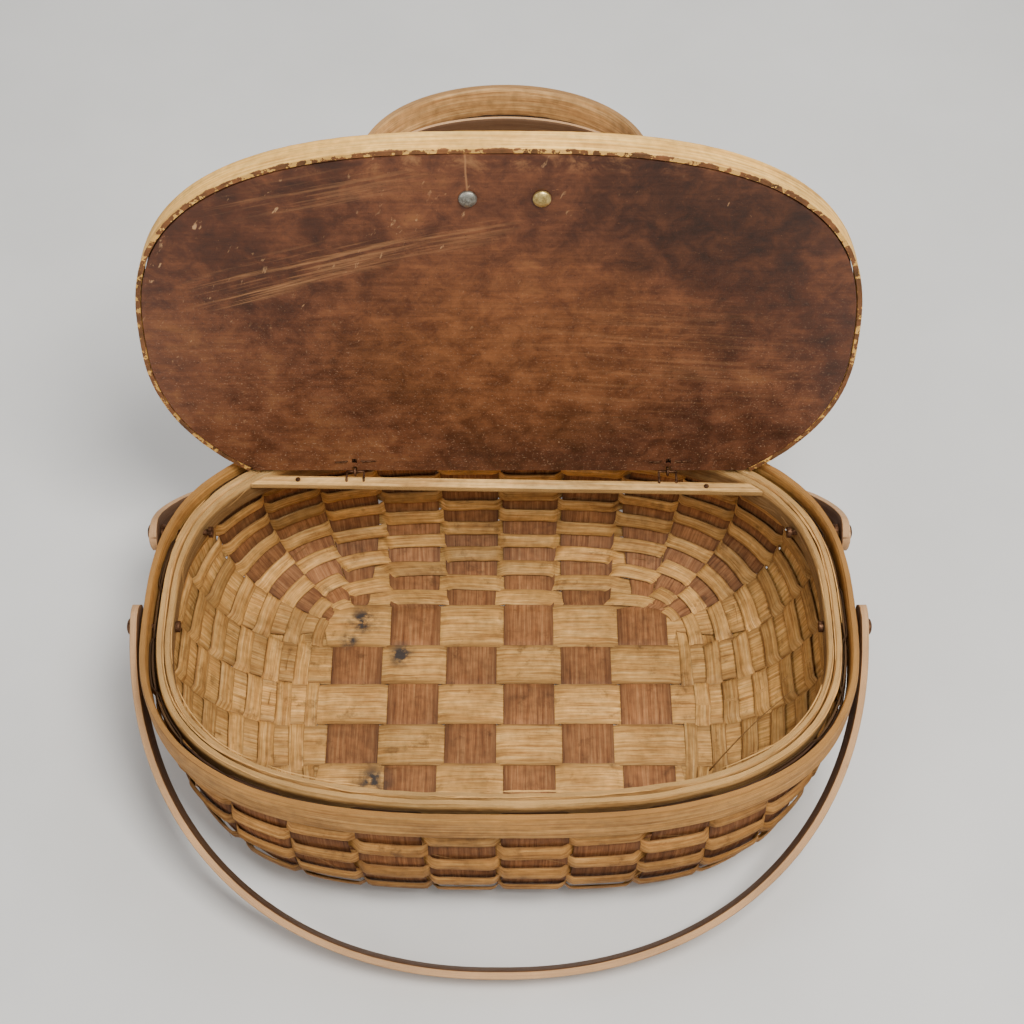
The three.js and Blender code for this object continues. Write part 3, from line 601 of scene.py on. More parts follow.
# ---------------------------------------------------------------- rim hoops
def rail_grid(path_xy, nrm_xy, z0, z1, zj=None, closed=True):
    J = 9
    f = np.array([0, 0.06, 0.16, 0.33, 0.5, 0.67, 0.84, 0.94, 1.0])
    I = len(path_xy)
    mid = np.zeros((I, J, 3)); nr = np.zeros((I, J, 3))
    for j in range(J):
        mid[:, j, :2] = path_xy
        mid[:, j, 2] = z0 + (z1 - z0) * f[j]
        nr[:, j, :2] = nrm_xy
    return mid, nr

HOOP_TH = np.array([0.62, 0.86, 1.0, 1.0, 1.0, 1.0, 1.0, 0.86, 0.62])
def ring_path(a, b, n, count=440):
    phi = np.linspace(0, 2 * np.pi, count * 4, endpoint=False)
    x, y = ring_xy(phi, a, b, n)
    P = np.stack([x, y], -1)
    seg = np.linalg.norm(np.roll(P, -1, 0) - P, axis=1)
    cum = np.concatenate([[0], np.cumsum(seg)])
    t = np.linspace(0, cum[-1], count, endpoint=False)
    P2 = np.concatenate([P, P[:1]])
    Q = np.stack([np.interp(t, cum, P2[:, 0]), np.interp(t, cum, P2[:, 1])], -1)
    T = np.roll(Q, -1, 0) - np.roll(Q, 1, 0)
    T /= np.linalg.norm(T, axis=1)[:, None]
    return Q, np.stack([T[:, 1], -T[:, 0]], -1)

def hoop(name, a_out, b_out, t, z0, z1, mat, node_name, seed, wob=0.12, edge_wob=0.3, tone=0.5):
    Q, N = ring_path(a_out - t / 2, b_out - t / 2, RIM_N)
    I = len(Q)
    k = np.arange(I) / I
    Q = Q + N * (wob * smooth_noise(k * 48, seed, 48))[:, None]
    mid, nr = rail_grid(Q, N, z0, z1)
    top = edge_wob * (0.6 * smooth_noise(k * 40, seed + 1, 40) + 0.5 * smooth_noise(k * 160, seed + 2, 160))
    bot = edge_wob * (0.6 * smooth_noise(k * 36, seed + 3, 36) + 0.4 * smooth_noise(k * 140, seed + 4, 140))
    f = np.linspace(0, 1, 9)
    mid[:, :, 2] += bot[:, None] * (1 - f)[None] + top[:, None] * f[None] - edge_wob * 0.4 * f[None]
    th = t * HOOP_TH[None] * (1 - 0.05 * np.abs(smooth_noise(k * 30, seed + 5, 30)))[:, None]
    tn = np.clip(tone + 0.15 * smooth_noise(k * 12, seed + 6, 12), 0, 1)
    # the UV seam sits at the far right end
    ob = slab(name, mid, nr, th, mat, 'basket', closed=True, tones=tn)
    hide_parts(node_name)
    set_sharp(ob, 55)
    return ob

HA = RIM_A - 4 - 0.4 - WALL_T - 0.45
HB = RIM_B - 4 - 0.4 - WALL_T - 0.45
hoop('outer_hoop', RIM_A, RIM_B, 4.0, 80.0, 100.0, M_BAND, 'outer_rim_band', 700, wob=0.1, edge_wob=0.35)
hoop('inner_hoop', HA, HB, 3.6, 84.0, 99.5, M_PALE, 'inner_rim_hoop', 720, edge_wob=0.8, wob=0.2, tone=0.6)
hoop('inner_hoop_liner', HA - 4.0, HB - 4.0, 3.4, 83.5, 99.0, M_PALE, 'inner_rim_liner', 740, edge_wob=0.85, wob=0.2, tone=0.4)

# ---------------------------------------------------------------- lid, drawn shut then opened
def opened(P):
    P = np.asarray(P, float)
    t = LID_OPEN
    y, z = P[..., 1] - AX_Y, P[..., 2] - AX_Z
    return np.stack([P[..., 0], y * math.cos(t) + z * math.sin(t) + AX_Y, -y * math.sin(t) + z * math.cos(t) + AX_Z], -1)

def turned(V):
    V = np.asarray(V, float)
    t = LID_OPEN
    return np.stack([V[..., 0], V[..., 1] * math.cos(t) + V[..., 2] * math.sin(t), -V[..., 1] * math.sin(t) + V[..., 2] * math.cos(t)], -1)

def lid_path(a, b, count=420):
    """round the lid from the right end of the hinge edge, by the front, to the left end"""
    phi = np.linspace(math.pi / 2, -3 * math.pi / 2, 4000)
    c, sn = np.cos(phi), np.sin(phi)
    n = np.where(sn > 0, 2.2, RIM_N)
    r = (np.abs(c / a) ** n + np.abs(sn / b) ** n) ** (-1 / n)
    P = np.stack([r * c, r * sn], -1)
    P = P[P[:, 1] < LID_EDGE_Y]
    seg = np.linalg.norm(np.diff(P, axis=0), axis=1)
    cum = np.concatenate([[0], np.cumsum(seg)])
    t = np.linspace(0, cum[-1], count)
    Q = np.stack([np.interp(t, cum, P[:, 0]), np.interp(t, cum, P[:, 1])], -1)
    T = np.gradient(Q, axis=0)
    T /= np.linalg.norm(T, axis=1)[:, None]
    return Q, np.stack([-T[:, 1], T[:, 0]], -1)

Q, N = lid_path(LID_A - 1.35, LID_B - 1.35)
mid, nr = rail_grid(Q, N, LID_Z + 0.05, LID_Z + LID_T - 0.05)
kk = np.arange(len(Q)) / len(Q)
th = 2.7 * np.array([0.8, 0.95, 1, 1, 1, 1, 1, 0.95, 0.8])[None] * np.ones((len(Q), 1))
mid[:, 0, 2] += 0.18 * np.abs(smooth_noise(kk * 120, 811))
mid[:, -1, 2] -= 0.25 * np.abs(smooth_noise(kk * 90, 812))
ob = slab('lid_edge_strip', opened(mid), turned(nr), th, M_RIM, 'lid', tone=0.7)
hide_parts('lid_edge_band')
set_sharp(ob, 55)

def lid_material():
    m = bpy.data.materials.new('lid_board')
    m.use_nodes = True
    nt = m.node_tree
    nt.nodes.clear()
    out = node(nt, 'ShaderNodeOutputMaterial')
    x, h, d = lid_coords(nt)
    P = node(nt, 'ShaderNodeCombineXYZ', {'X': x, 'Y': h, 'Z': d}).outputs[0]
    cloud = noise(nt, mapped(nt, P, (9, 11, 3)), 1.0, 5, 0.6, 0.6)
    grain = noise(nt, mapped(nt, P, (26, 420, 60)), 1.0, 5, 0.65, 0.15)
    mott = noise(nt, mapped(nt, P, (75, 85, 30)), 1.0, 6, 0.7, 0.4)
    fine = noise(nt, mapped(nt, P, (620, 700, 300)), 1.0, 4, 0.7)
    base = ramp(nt, math_(nt, 'ADD', math_(nt, 'MULTIPLY', cloud, 0.55), math_(nt, 'MULTIPLY', mott, 0.45)),
                [(0.34, srgb('351c10')), (0.46, srgb('5a3320')), (0.55, srgb('7a4a2f')), (0.68, srgb('9c683f'))])
    # warmer worn middle
    cx = math_(nt, 'DIVIDE', math_(nt, 'SUBTRACT', x, 0.005), 0.105)
    cy = math_(nt, 'DIVIDE', math_(nt, 'SUBTRACT', h, 0.085), 0.07)
    rr = math_(nt, 'ADD', math_(nt, 'MULTIPLY', cx, cx), math_(nt, 'MULTIPLY', cy, cy))
    rr = math_(nt, 'ADD', rr, math_(nt, 'MULTIPLY', math_(nt, 'SUBTRACT', cloud, 0.5), 1.6))
    warm = grey(nt, rr, 0.5, 0.0, 0.0, 1.0)
    base = mixc(nt, warm, base, ramp(nt, mott, [(0.35, srgb('7d4a28')), (0.65, srgb('b0713e'))]))
    # dark corner, upper right
    dx = math_(nt, 'DIVIDE', math_(nt, 'SUBTRACT', x, 0.105), 0.085)
    dy = math_(nt, 'DIVIDE', math_(nt, 'SUBTRACT', h, 0.165), 0.042)
    dr = math_(nt, 'ADD', math_(nt, 'MULTIPLY', dx, dx), math_(nt, 'MULTIPLY', dy, dy))
    dr = math_(nt, 'ADD', dr, math_(nt, 'MULTIPLY', math_(nt, 'SUBTRACT', cloud, 0.5), 2.4))
    base = mixc(nt, grey(nt, dr, 0.62, 0.0, 0.0, 1.3), base, ramp(nt, mott, [(0.35, srgb('22120b')), (0.65, srgb('4c2d1c'))]))
    # pale scratches, a long band on the left and stray short ones
    def scratch(cx_, cy_, lx, ly, ang, amt, sc):
        ca, sa = math.cos(ang), math.sin(ang)
        px = math_(nt, 'SUBTRACT', x, cx_); py = math_(nt, 'SUBTRACT', h, cy_)
        a = math_(nt, 'ADD', math_(nt, 'MULTIPLY', px, ca), math_(nt, 'MULTIPLY', py, sa))
        b = math_(nt, 'ADD', math_(nt, 'MULTIPLY', px, -sa), math_(nt, 'MULTIPLY', py, ca))
        n1 = noise(nt, node(nt, 'ShaderNodeCombineXYZ', {'X': math_(nt, 'MULTIPLY', a, 14.0), 'Y': math_(nt, 'MULTIPLY', b, sc), 'Z': 0.3}).outputs[0], 1.0, 4, 0.7)
        aa = math_(nt, 'DIVIDE', a, lx); bb = math_(nt, 'DIVIDE', b, ly)
        fall = math_(nt, 'SUBTRACT', 1.0, math_(nt, 'ADD', math_(nt, 'MULTIPLY', aa, aa), math_(nt, 'MULTIPLY', bb, bb)), clamp=True)
        return math_(nt, 'MULTIPLY', math_(nt, 'MULTIPLY', fall, grey(nt, n1, 0.0, 1.0, 0.50, 0.62)), amt)
    s1 = scratch(-0.092, 0.134, 0.070, 0.013, 0.27, 0.62, 420.0)
    s2 = scratch(-0.030, 0.150, 0.045, 0.010, 0.20, 0.40, 500.0)
    s3 = scratch(-0.118, 0.118, 0.034, 0.006, 0.30, 0.75, 900.0)
    s4 = scratch(0.075, 0.075, 0.085, 0.05, -0.08, 0.20, 420.0)
    s5 = scratch(-0.085, 0.176, 0.06, 0.012, 0.22, 0.35, 500.0)
    s = math_(nt, 'ADD', math_(nt, 'ADD', math_(nt, 'ADD', s1, s2), math_(nt, 'ADD', s3, s4)), s5, clamp=True)
    base = mixc(nt, s, base, (*srgb('bd8a5c'), 1))
    # flecks where the stain is chipped off, mostly top left, and dust low down
    fl_n = noise(nt, mapped(nt, node(nt, 'ShaderNodeVectorRotate', {'Vector': P, 'Axis': (0, 0, 1), 'Angle': 0.5}).outputs[0], (330, 120, 60)), 1.0, 3, 0.6)
    fm = noise(nt, mapped(nt, P, (38, 46, 10), (3.1, 1.7, 0)), 1.0, 3, 0.6)
    tl = math_(nt, 'ADD', math_(nt, 'MULTIPLY', fm, 0.8), math_(nt, 'SUBTRACT', math_(nt, 'MULTIPLY', h, 1.6), math_(nt, 'MULTIPLY', x, 0.9)))
    fl = math_(nt, 'MULTIPLY', grey(nt, fl_n, 0.0, 1.0, 0.66, 0.72), grey(nt, tl, 0.0, 0.9, 0.60, 0.80))
    base = mixc(nt, fl, base, (*srgb('c9a074'), 1))
    dust_n = noise(nt, mapped(nt, P, (900, 1100, 300)), 1.0, 3, 0.7)
    dusty = math_(nt, 'ADD', math_(nt, 'SUBTRACT', 0.75, math_(nt, 'MULTIPLY', h, 6.0)), math_(nt, 'MULTIPLY', cloud, 0.35), clamp=True)
    base = mixc(nt, math_(nt, 'MULTIPLY', grey(nt, dust_n, 0.0, 0.75, 0.60, 0.70), dusty), base, (*srgb('cfae8c'), 1))
    rim_d = math_(nt, 'MULTIPLY', math_(nt, 'SUBTRACT', h, 0.186), 160.0, clamp=True)
    base = mixc(nt, math_(nt, 'MULTIPLY', rim_d, math_(nt, 'MULTIPLY', grey(nt, mott, 0.0, 1.0, 0.50, 0.66), 0.45)), base, (*srgb('b98a5c'), 1))
    sp = ramp(nt, fine, [(0.66, (0.0,) * 3), (0.74, (1.0,) * 3)])
    base = mixc(nt, math_(nt, 'MULTIPLY', sp, 0.5), base, (*srgb('b07d50'), 1))
    pit = ramp(nt, fine, [(0.30, (1.0,) * 3), (0.38, (0.0,) * 3)])
    base = mixc(nt, math_(nt, 'MULTIPLY', pit, 0.45), base, (*srgb('24130b'), 1))
    gr = grey(nt, grain, 0.82, 1.12, 0.35, 0.65)
    base = mixc(nt, 1.0, base, gr, 'MULTIPLY')
    # a fine split from the front edge down to the left screw
    wob = math_(nt, 'MULTIPLY', math_(nt, 'SUBTRACT', noise(nt, mapped(nt, P, (0, 60, 0)), 1.0, 2, 0.5), 0.5), 0.004)
    cxk = math_(nt, 'ABSOLUTE', math_(nt, 'SUBTRACT', math_(nt, 'SUBTRACT', x, -0.0145), wob))
    crack = math_(nt, 'MULTIPLY', math_(nt, 'SUBTRACT', 1.0, math_(nt, 'DIVIDE', cxk, 0.0007), clamp=True), math_(nt, 'GREATER_THAN', h, 0.170))
    base = mixc(nt, math_(nt, 'MULTIPLY', crack, 0.8), base, (*srgb('b9865a'), 1))
    # the upper face: plain golden brown board, worn and waxed
    topc = ramp(nt, math_(nt, 'ADD', math_(nt, 'MULTIPLY', grain, 0.6), math_(nt, 'MULTIPLY', cloud, 0.4)),
                [(0.32, srgb('6a4323')), (0.5, srgb('936437')), (0.68, srgb('b5854f'))])
    topc = mixc(nt, math_(nt, 'MULTIPLY', grey(nt, mott, 0.0, 1.0, 0.45, 0.7), 0.35), topc, (*srgb('573418'), 1))
    # depth in the board picks the face
    is_top = math_(nt, 'GREATER_THAN', d, 0.0)
    base = mixc(nt, 1.0, base, (0.72, 0.69, 0.66, 1), 'MULTIPLY')
    col = mixc(nt, is_top, base, topc)
    rough = grey(nt, mott, 0.42, 0.68, 0.35, 0.7)
    hgt = math_(nt, 'ADD', math_(nt, 'MULTIPLY', fine, 0.35), math_(nt, 'MULTIPLY', grain, 0.5))
    hgt = math_(nt, 'ADD', hgt, math_(nt, 'ADD', math_(nt, 'MULTIPLY', mott, 0.5), math_(nt, 'MULTIPLY', s, -0.5)))
    bmp = node(nt, 'ShaderNodeBump', {'Strength': 0.35, 'Distance': 0.0007, 'Height': hgt}).outputs[0]
    bs = node(nt, 'ShaderNodeBsdfPrincipled', {'Base Color': col, 'Roughness': rough, 'Normal': bmp, 'Specular IOR Level': 0.4})
    nt.links.new(bs.outputs[0], out.inputs[0])
    return m

def restyle(name, mat, bevel=None):
    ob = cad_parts[name]
    if ob.material_slots:
        for sl in ob.material_slots:
            sl.material = mat
    else:
        ob.data.materials.append(mat)
    if bevel:
        bv = ob.modifiers.new('soft_edges', 'BEVEL')
        bv.width = bevel * MM
        bv.segments = 2
        bv.limit_method = 'ANGLE'
        bv.angle_limit = math.radians(40)
        bv.harden_normals = False
    return ob

restyle('lid_board', lid_material(), 0.5)

# bow grip: feet turned in under an arch
def planar_strip(name, xz, width, y, th_mm, mat, body, node_name, tone=0.5, do_open=True):
    """strip whose path lies in an XZ plane of the shut lid; width runs along Y"""
    xz = np.asarray(xz, float)
    T = np.gradient(xz, axis=0); T /= np.linalg.norm(T, axis=1)[:, None]
    Nn = np.stack([T[:, 1], -T[:, 0]], -1)
    I = len(xz)
    f = np.array([-1, -0.9, -0.7, -0.3, 0, 0.3, 0.7, 0.9, 1.0])
    mid = np.zeros((I, 9, 3)); nr = np.zeros((I, 9, 3))
    k = np.arange(I) / I
    wv = width * (1 + (0.03 if node_name else 0.28) * smooth_noise(k * (9 if node_name else 46), 77))
    for j in range(9):
        mid[:, j, 0] = xz[:, 0]; mid[:, j, 2] = xz[:, 1]; mid[:, j, 1] = y + f[j] * wv / 2
        nr[:, j, 0] = Nn[:, 0]; nr[:, j, 2] = Nn[:, 1]
    th = th_mm * np.array([0.6, 0.86, 1, 1, 1, 1, 1, 0.86, 0.6])[None] * np.ones((I, 1))
    if do_open:
        mid, nr = opened(mid), turned(nr)
    ob = slab(name, mid, nr, th, mat, body, tone=tone)
    if node_name:
        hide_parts(node_name)
    set_sharp(ob, 55)
    return ob

g0 = LID_Z + LID_T + 0.3
cz = g0 + GRIP_T + 2.7
rm = GRIP_R - GRIP_T / 2
pts = [(4.5, g0 + 2)]
pts += [(x, g0 + 2) for x in np.linspace(10, rm - 4.2, 14)]
pts += [(rm - 4.2 + 4.2 * math.sin(t), g0 + 2 + 4.2 - 4.2 * math.cos(t)) for t in np.linspace(0.15, math.pi / 2, 8)]
pts += [(rm * math.cos(t), cz + rm * math.sin(t)) for t in np.linspace(0.03, math.pi - 0.03, 90)]
pts += [(-(rm - 4.2 + 4.2 * math.sin(t)), g0 + 2 + 4.2 - 4.2 * math.cos(t)) for t in np.linspace(math.pi / 2, 0.15, 8)]
pts += [(-x, g0 + 2) for x in np.linspace(rm - 4.2, 10, 14)] + [(-4.5, g0 + 2)]
pts = np.array(pts); pts[:, 0] = pts[:, 0] * GRIP_SX + GRIP_X
planar_strip('grip_bow', pts, 16.0, GRIP_Y, 3.9, M_GRIP, 'lid', 'lid_grip_bow', 0.6)
z0 = g0 + GRIP_T + 0.35
a_, h_ = (GRIP_R - GRIP_T - 2.7) * GRIP_SX - 1.2, GRIP_R - 21 - 1.2
pts = np.array([(GRIP_X + a_ * math.cos(t), z0 + 0.4 + h_ * math.sin(t)) for t in np.linspace(0.01, math.pi - 0.01, 90)])
planar_strip('grip_inner_bow', pts, 9.0, GRIP_Y, 2.3, M_BAIL, 'lid', 'lid_grip_inner_bow', 0.4)

# the lower edge of the grip is torn; its near-black colour is painted shade under the grip
zf = g0 + GRIP_T + 2.7
pts = np.array([(GRIP_X + (GRIP_R - 3.3) * GRIP_SX * math.cos(t), zf + (GRIP_R - 3.3) * math.sin(t)) for t in np.linspace(0.10, math.pi - 0.10, 120)])
planar_strip('grip_torn_edge', pts, 4.6, GRIP_Y + 9.2, 1.0, M_TORN_SHADE, 'lid', None, 0.4)

# ---------------------------------------------------------------- swing bails
def bail(name, spec, body, tone, seed):
    a, b, n = spec['a'] - STRAP_T / 2, spec['b'] - STRAP_T / 2, spec['n']
    t = np.linspace(0, math.pi, 2400)
    x, u = a * np.sign(np.cos(t)) * np.abs(np.cos(t)) ** (2 / n), b * np.abs(np.sin(t)) ** (2 / n)
    P = np.stack([x, u], -1)
    tip_r = STRAP_W / 2
    P = np.concatenate([[[a, -TIP]], P, [[-a, -TIP]]])
    seg = np.linalg.norm(np.diff(P, axis=0), axis=1)
    cum = np.concatenate([[0], np.cumsum(seg)])
    L = cum[-1]
    ends = tip_r * (1 - np.cos(np.linspace(0, math.pi / 2, 12)))
    tt = np.concatenate([ends[:-1], np.linspace(tip_r, L - tip_r, 260), (L - ends[::-1])[1:]])
    Q = np.stack([np.interp(tt, cum, P[:, 0]), np.interp(tt, cum, P[:, 1])], -1)
    T = np.gradient(Q, axis=0); T /= np.linalg.norm(T, axis=1)[:, None] + 1e-12
    Nn = np.stack([T[:, 1], -T[:, 0]], -1)
    dist = np.minimum(tt, L - tt)
    w = np.where(dist < tip_r, np.sqrt(np.maximum(tip_r ** 2 - (tip_r - dist) ** 2, 0.3)), tip_r)
    k = tt / L
    w = w * (1 - 0.025 * np.abs(smooth_noise(k * 14, seed)))
    I = len(Q)
    f = np.array([-1, -0.9, -0.72, -0.36, 0, 0.36, 0.72, 0.9, 1.0])
    mid = np.zeros((I, 9, 3)); nr = np.zeros((I, 9, 3))
    d, al = spec['d'], math.radians(spec['tilt'])
    def place(U, W):
        # U along the bow, W across the strip
        yy = spec['y'] + d * (U * math.cos(al) + W * math.sin(al))
        zz = PIVOT_Z - U * math.sin(al) + W * math.cos(al)
        return yy, zz
    for j in range(9):
        yy, zz = place(Q[:, 1], f[j] * w)
        mid[:, j] = np.stack([Q[:, 0], yy, zz], -1)
        nr[:, j] = np.stack([Nn[:, 0], d * Nn[:, 1] * math.cos(al), -Nn[:, 1] * math.sin(al)], -1)
    th = (STRAP_T - 0.1) * np.array([0.66, 0.88, 1, 1, 1, 1, 1, 0.88, 0.66])[None] * (1 - 0.06 * np.abs(smooth_noise(k * 11, seed + 1)))[:, None]
    tn = np.clip(tone + 0.2 * smooth_noise(k * 9, seed + 2), 0, 1)
    ob = slab(name + '_strip', mid, nr, th, M_BAIL, body, tones=tn)
    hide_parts(name)
    set_sharp(ob, 50)
    return ob
bail('front_bail', FRONT, 'front_bail_part', 0.6, 900)
bail('rear_bail', REAR, 'rear_bail_part', 0.45, 930)

# ---------------------------------------------------------------- hinge rail and hardware
def rail_piece():
    I = 120
    X = np.linspace(-1, 1, I)
    fy = np.array([-1, -0.85, -0.4, 0, 0.4, 0.85, 1.0])
    mid = np.zeros((I, 7, 3)); nr = np.zeros((I, 7, 3)); th = np.zeros((I, 7))
    for j in range(7):
        x = X * 140.0
        for _ in range(6):
            y = rail_y(x) + RAIL_HALF * fy[j]
            hw = 162.0 * (1 - (y / 102.0) ** 2.8) ** (1 / 2.8)
            x = X * hw
        mid[:, j, 0] = x
        mid[:, j, 1] = rail_y(x) + RAIL_HALF * fy[j] + 0.12 * smooth_noise(X * 9 + 20, 60) * (1 if j < 3 else 0.4)
        mid[:, j, 2] = (RAIL_Z0 + RAIL_Z1) / 2
        nr[:, j] = (0, 0, 1)
        th[:, j] = (RAIL_Z1 - RAIL_Z0 - 0.05) * [0.86, 0.97, 1, 1, 1, 0.97, 0.86][j] * (1 - 0.03 * np.abs(smooth_noise(X * 12 + 30, 61)))
    ob = slab('hinge_rail_bar', mid, nr, th, M_PALE, 'basket', tone=0.7)
    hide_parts('hinge_rail')
    set_sharp(ob, 40)
rail_piece()

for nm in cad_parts:
    if 'pivot_pin' in nm or 'pivot_washer' in nm or nm.startswith('rail_nail'):
        restyle(nm, M_RUST, 0.15)
    if nm in ('grip_screw_steel', 'grip_washer_left', 'grip_washer_right'):
        restyle(nm, M_STEEL, 0.15)
restyle('grip_screw_brass', M_BRASS, 0.2)

r_w = 0.78
for i, hx in enumerate(HINGE_X):
    tag = 'right' if i else 'left'
    # eye in the lid: loop, shank through the board, legs bent flat on the underside
    loop = [(hx, AX_Y + 2.1 * math.cos(t), AX_Z + 2.1 * math.sin(t)) for t in np.linspace(math.radians(100), math.radians(-215), 22)]
    sy = LID_EDGE_Y - 6.5
    right = [(hx + 0.5, sy, AX_Z + 2.1), (hx + 0.5, sy, LID_Z + 1.2), (hx + 3.4, sy, LID_Z + 0.7), (hx + 4.6, sy - 0.1, LID_Z - 0.45), (hx + 11.6, sy - 0.5, LID_Z - 0.5)]
    left = [(hx - 0.5, sy, AX_Z + 2.0), (hx - 0.5, sy, LID_Z + 1.2), (hx - 3.4, sy, LID_Z + 0.7), (hx - 4.4, sy + 0.1, LID_Z - 0.45), (hx - 10.2, sy + 0.4, LID_Z - 0.5)]
    path = np.concatenate([fillet(right[::-1] + [loop[0]], 0.8, 4), loop[1:-1], fillet([loop[-1]] + left, 0.8, 4)])
    rad = np.full(len(path), 0.62); rad[:2] = [0.3, 0.5]; rad[-2:] = [0.5, 0.3]
    e = tube('lid_eye_wire_' + tag, opened(path), 0.62, M_RUST, 'lid', radii=rad)
    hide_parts('lid_hinge_eye_' + tag)
    yr = max(rail_y(hx), 77.5)
    p = fillet([(hx - 4.5, yr + 4.2, 94.2), (hx - 4.5, yr, 94.2), (hx - 4.5, yr, 99.6), (hx - 4.5, AX_Y, 99.6), (hx - 4.5, AX_Y, AX_Z), (hx + 4.5, AX_Y, AX_Z), (hx + 4.5, AX_Y, 99.6), (hx + 4.5, yr, 99.6), (hx + 4.5, yr, 94.2), (hx + 4.5, yr + 4.2, 94.2)], 0.7, 4)
    e = tube('rail_staple_wire_' + tag, p, 0.6, M_RUST, 'basket')
    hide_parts('rail_hinge_staple_' + tag)

# ---------------------------------------------------------------- loose fibres
def fibre(name, p0, d, length, droop, seed, r=0.22):
    q = np.random.default_rng(seed)
    n = 9
    d = np.asarray(d, float); d /= np.linalg.norm(d)
    side = np.cross(d, [0, 0, 1.0]); side /= np.linalg.norm(side) + 1e-9
    bend = q.uniform(-1, 1)
    P = [np.asarray(p0) + d * length * t + side * bend * length * 0.18 * t * t + np.array([0, 0, -droop * t * t]) for t in np.linspace(0, 1, n)]
    return np.array(P), np.linspace(r, 0.06, n)
def fibre_mesh(name, items, mat):
    verts, faces, uvs = [], [], []
    seg = 4
    for P, rad in items:
        base = len(verts)
        T = np.gradient(P, axis=0); T /= np.linalg.norm(T, axis=1)[:, None] + 1e-9
        A = np.cross(T, [0.3, 0.2, 0.93]); A /= np.linalg.norm(A, axis=1)[:, None] + 1e-9
        Bv = np.cross(T, A)
        for i in range(len(P)):
            for k in range(seg):
                t = 2 * math.pi * k / seg
                verts.append(P[i] + rad[i] * (math.cos(t) * A[i] + math.sin(t) * Bv[i])); uvs.append((i * 0.2, k * 0.02))
        for i in range(len(P) - 1):
            for k in range(seg):
                m = (k + 1) % seg
                faces.append((base + i * seg + k, base + (i + 1) * seg + k, base + (i + 1) * seg + m, base + i * seg + m))
        faces.append(tuple(base + k for k in range(seg)))
        faces.append(tuple(base + (len(P) - 1) * seg + k for k in reversed(range(seg))))
    verts = [(v[0], v[1], max(v[2], 0.15)) for v in verts]
    nv = len(verts)
    return make_object(name, verts, faces, uvs, dict(edge=np.zeros(nv), side=np.ones(nv), tone=np.full(nv, 0.8), seed=np.full(nv, 0.6)), mat, 'basket')
items = []
q = np.random.default_rng(7)
for k in range(70):
    ph = q.uniform(0, 2 * np.pi); s = q.uniform(20, 116)
    c, n, sp = surf(np.array([ph]), np.array([s]))
    inward = q.uniform() < 0.6
    sg = -1 if inward else 1
    tang = raw(ph + 0.01, s) - raw(ph - 0.01, s); tang = tang / np.linalg.norm(tang) * q.choice([-1, 1])
    p0 = c[0] + n[0] * sg * 1.9
    items.append(fibre('f', p0, tang + n[0] * sg * q.uniform(0.08, 0.3) + np.array([0, 0, q.uniform(-0.3, 0.3)]), q.uniform(6, 20), 1.0, 1000 + k, q.uniform(0.12, 0.24)))
for k in range(34):
    ph = q.uniform(0, 2 * np.pi)
    x, y = ring_xy(ph, HA - 4.0 - 3.6, HB - 4.0 - 3.6, RIM_N)
    tx, ty = ring_xy(ph + 0.02, HA - 7.6, HB - 7.6, RIM_N)
    t = np.array([tx - x, ty - y, 0.0]); t /= np.linalg.norm(t)
    inn = -np.array([x, y, 0]) / math.hypot(x, y)
    items.append(fibre('f', np.array([x, y, q.uniform(84, 98.5)]), t * q.choice([-1, 1]) + inn * q.uniform(0.05, 0.35), q.uniform(5, 16), 1.5, 2000 + k, q.uniform(0.12, 0.22)))
for k in range(64):
    ph0 = q.uniform(0, 2 * np.pi)
    span = q.uniform(0.10, 0.45)
    rad_in = q.choice([3.7, 7.4, 4.4, 0.4])
    aa, bb = HA - rad_in, HB - rad_in
    t = np.linspace(ph0, ph0 + span, 16)
    x, y = ring_xy(t, aa, bb, RIM_N)
    lift = 0.35 + 0.7 * np.abs(smooth_noise(t * 14, 3000 + k))
    wv = 0.5 * smooth_noise(t * 9, 3300 + k)
    P_ = np.stack([x * (1 + wv / 170), y * (1 + wv / 110), 98.9 + lift * (1 if rad_in < 5 else 0.6)], -1)
    P_ = P_[P_[:, 1] < 66] if np.any(P_[:, 1] > 66) else P_
    if len(P_) > 4:
        items.append((P_, np.concatenate([np.linspace(0.1, 0.34, 4), np.full(len(P_) - 8, 0.36), np.linspace(0.34, 0.1, 4)]) if len(P_) > 8 else np.full(len(P_), 0.3)))
# one long sprung splinter inside, at the right
items.append((np.array([[x, y, z] for x, y, z in zip(np.linspace(108, 148, 12), np.linspace(-52, -26, 12), np.linspace(24, 60, 12) + 5 * np.sin(np.linspace(0, math.pi, 12)))]), np.linspace(0.5, 0.12, 12)))
fibre_mesh('loose_fibres', items, M_PALE)

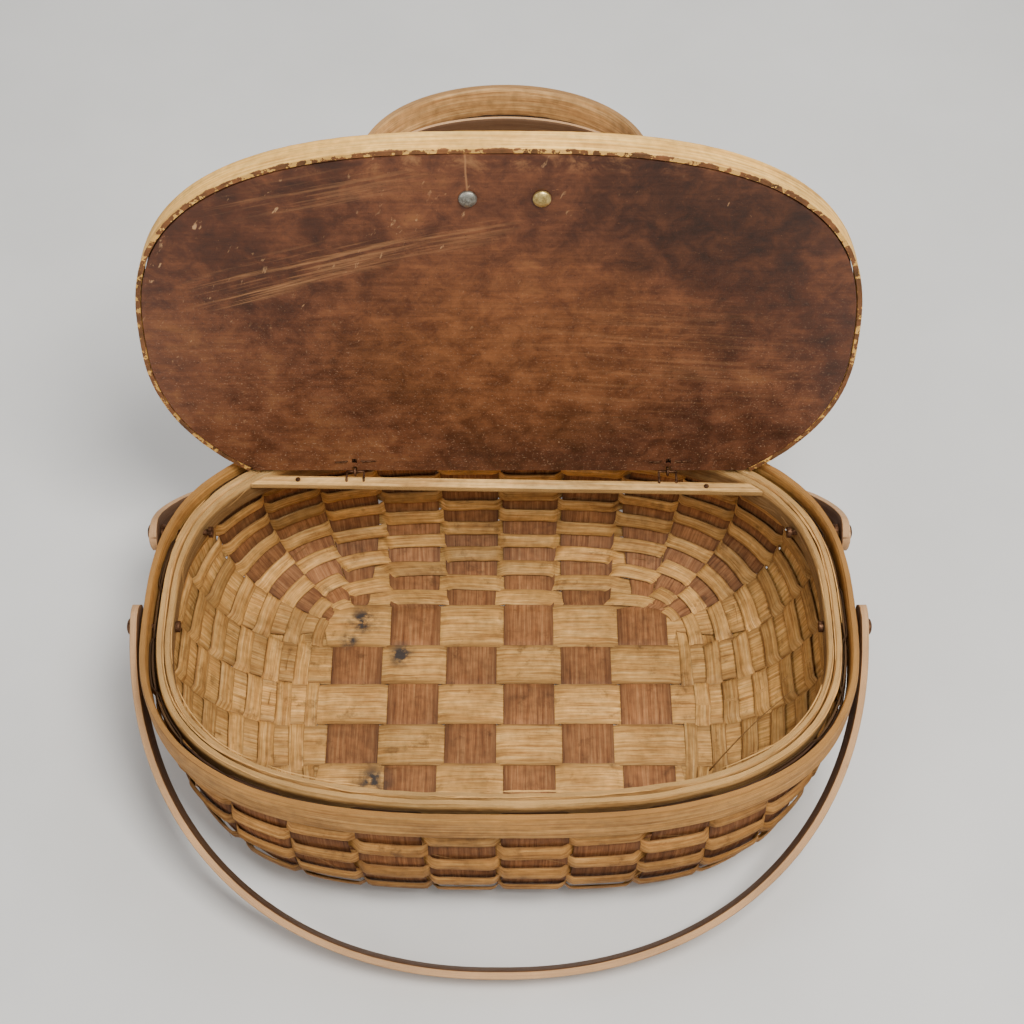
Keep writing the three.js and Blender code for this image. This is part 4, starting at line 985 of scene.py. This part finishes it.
# ---------------------------------------------------------------- floor, light, camera
def stage():
    me = bpy.data.meshes.new('floor')
    s = 4.0
    me.from_pydata([(-s, -s, 0), (s, -s, 0), (s, s, 0), (-s, s, 0)], [], [(0, 1, 2, 3)])
    m = bpy.data.materials.new('floor_pale'); m.use_nodes = True
    nt = m.node_tree
    bs = nt.nodes['Principled BSDF']
    n1 = noise(nt, node(nt, 'ShaderNodeTexCoord').outputs['Object'], 6.0, 4, 0.6)
    nt.links.new(ramp(nt, n1, [(0.3, (0.60, 0.60, 0.59)), (0.7, (0.66, 0.66, 0.65))]), bs.inputs['Base Color'])
    bs.inputs['Roughness'].default_value = 0.75
    me.materials.append(m)
    ob = bpy.data.objects.new('floor', me)
    bpy.context.scene.collection.objects.link(ob)
    def area(name, loc, target, size, power, col=(1, 1, 1)):
        L = bpy.data.lights.new(name, 'AREA'); L.energy = power; L.size = size; L.color = col
        o = bpy.data.objects.new(name, L); bpy.context.scene.collection.objects.link(o)
        o.location = loc
        from mathutils import Vector
        o.rotation_euler = (Vector(target) - Vector(loc)).to_track_quat('-Z', 'Y').to_euler()
    area('key', (0.38, -0.45, 1.5), (0, 0, 0.08), 0.55, 31.0, (1.0, 0.965, 0.91))
    area('fill', (-1.1, -0.7, 1.0), (0, 0, 0.1), 1.0, 7.5, (0.98, 0.98, 1.0))
    area('back', (0.3, 1.0, 1.4), (0, 0, 0.2), 1.0, 11.0)
    w = bpy.context.scene.world or bpy.data.worlds.new('world')
    bpy.context.scene.world = w
    w.use_nodes = True
    bg = w.node_tree.nodes.get('Background') or w.node_tree.nodes.new('ShaderNodeBackground')
    bg.inputs[0].default_value = (1.0, 0.985, 0.96, 1)
    bg.inputs[1].default_value = 0.42
    cam = bpy.data.cameras.new('camera')
    cam.sensor_width = 36.0
    cam.lens = 1807 / 1024 * 36.0
    cam.clip_start = 0.01; cam.clip_end = 50
    co = bpy.data.objects.new('camera', cam)
    bpy.context.scene.collection.objects.link(co)
    co.location = (0.0063, -0.49185, 0.8564)
    co.rotation_euler = (math.radians(90 - 54.0), 0, 0)
    bpy.context.scene.camera = co
stage()
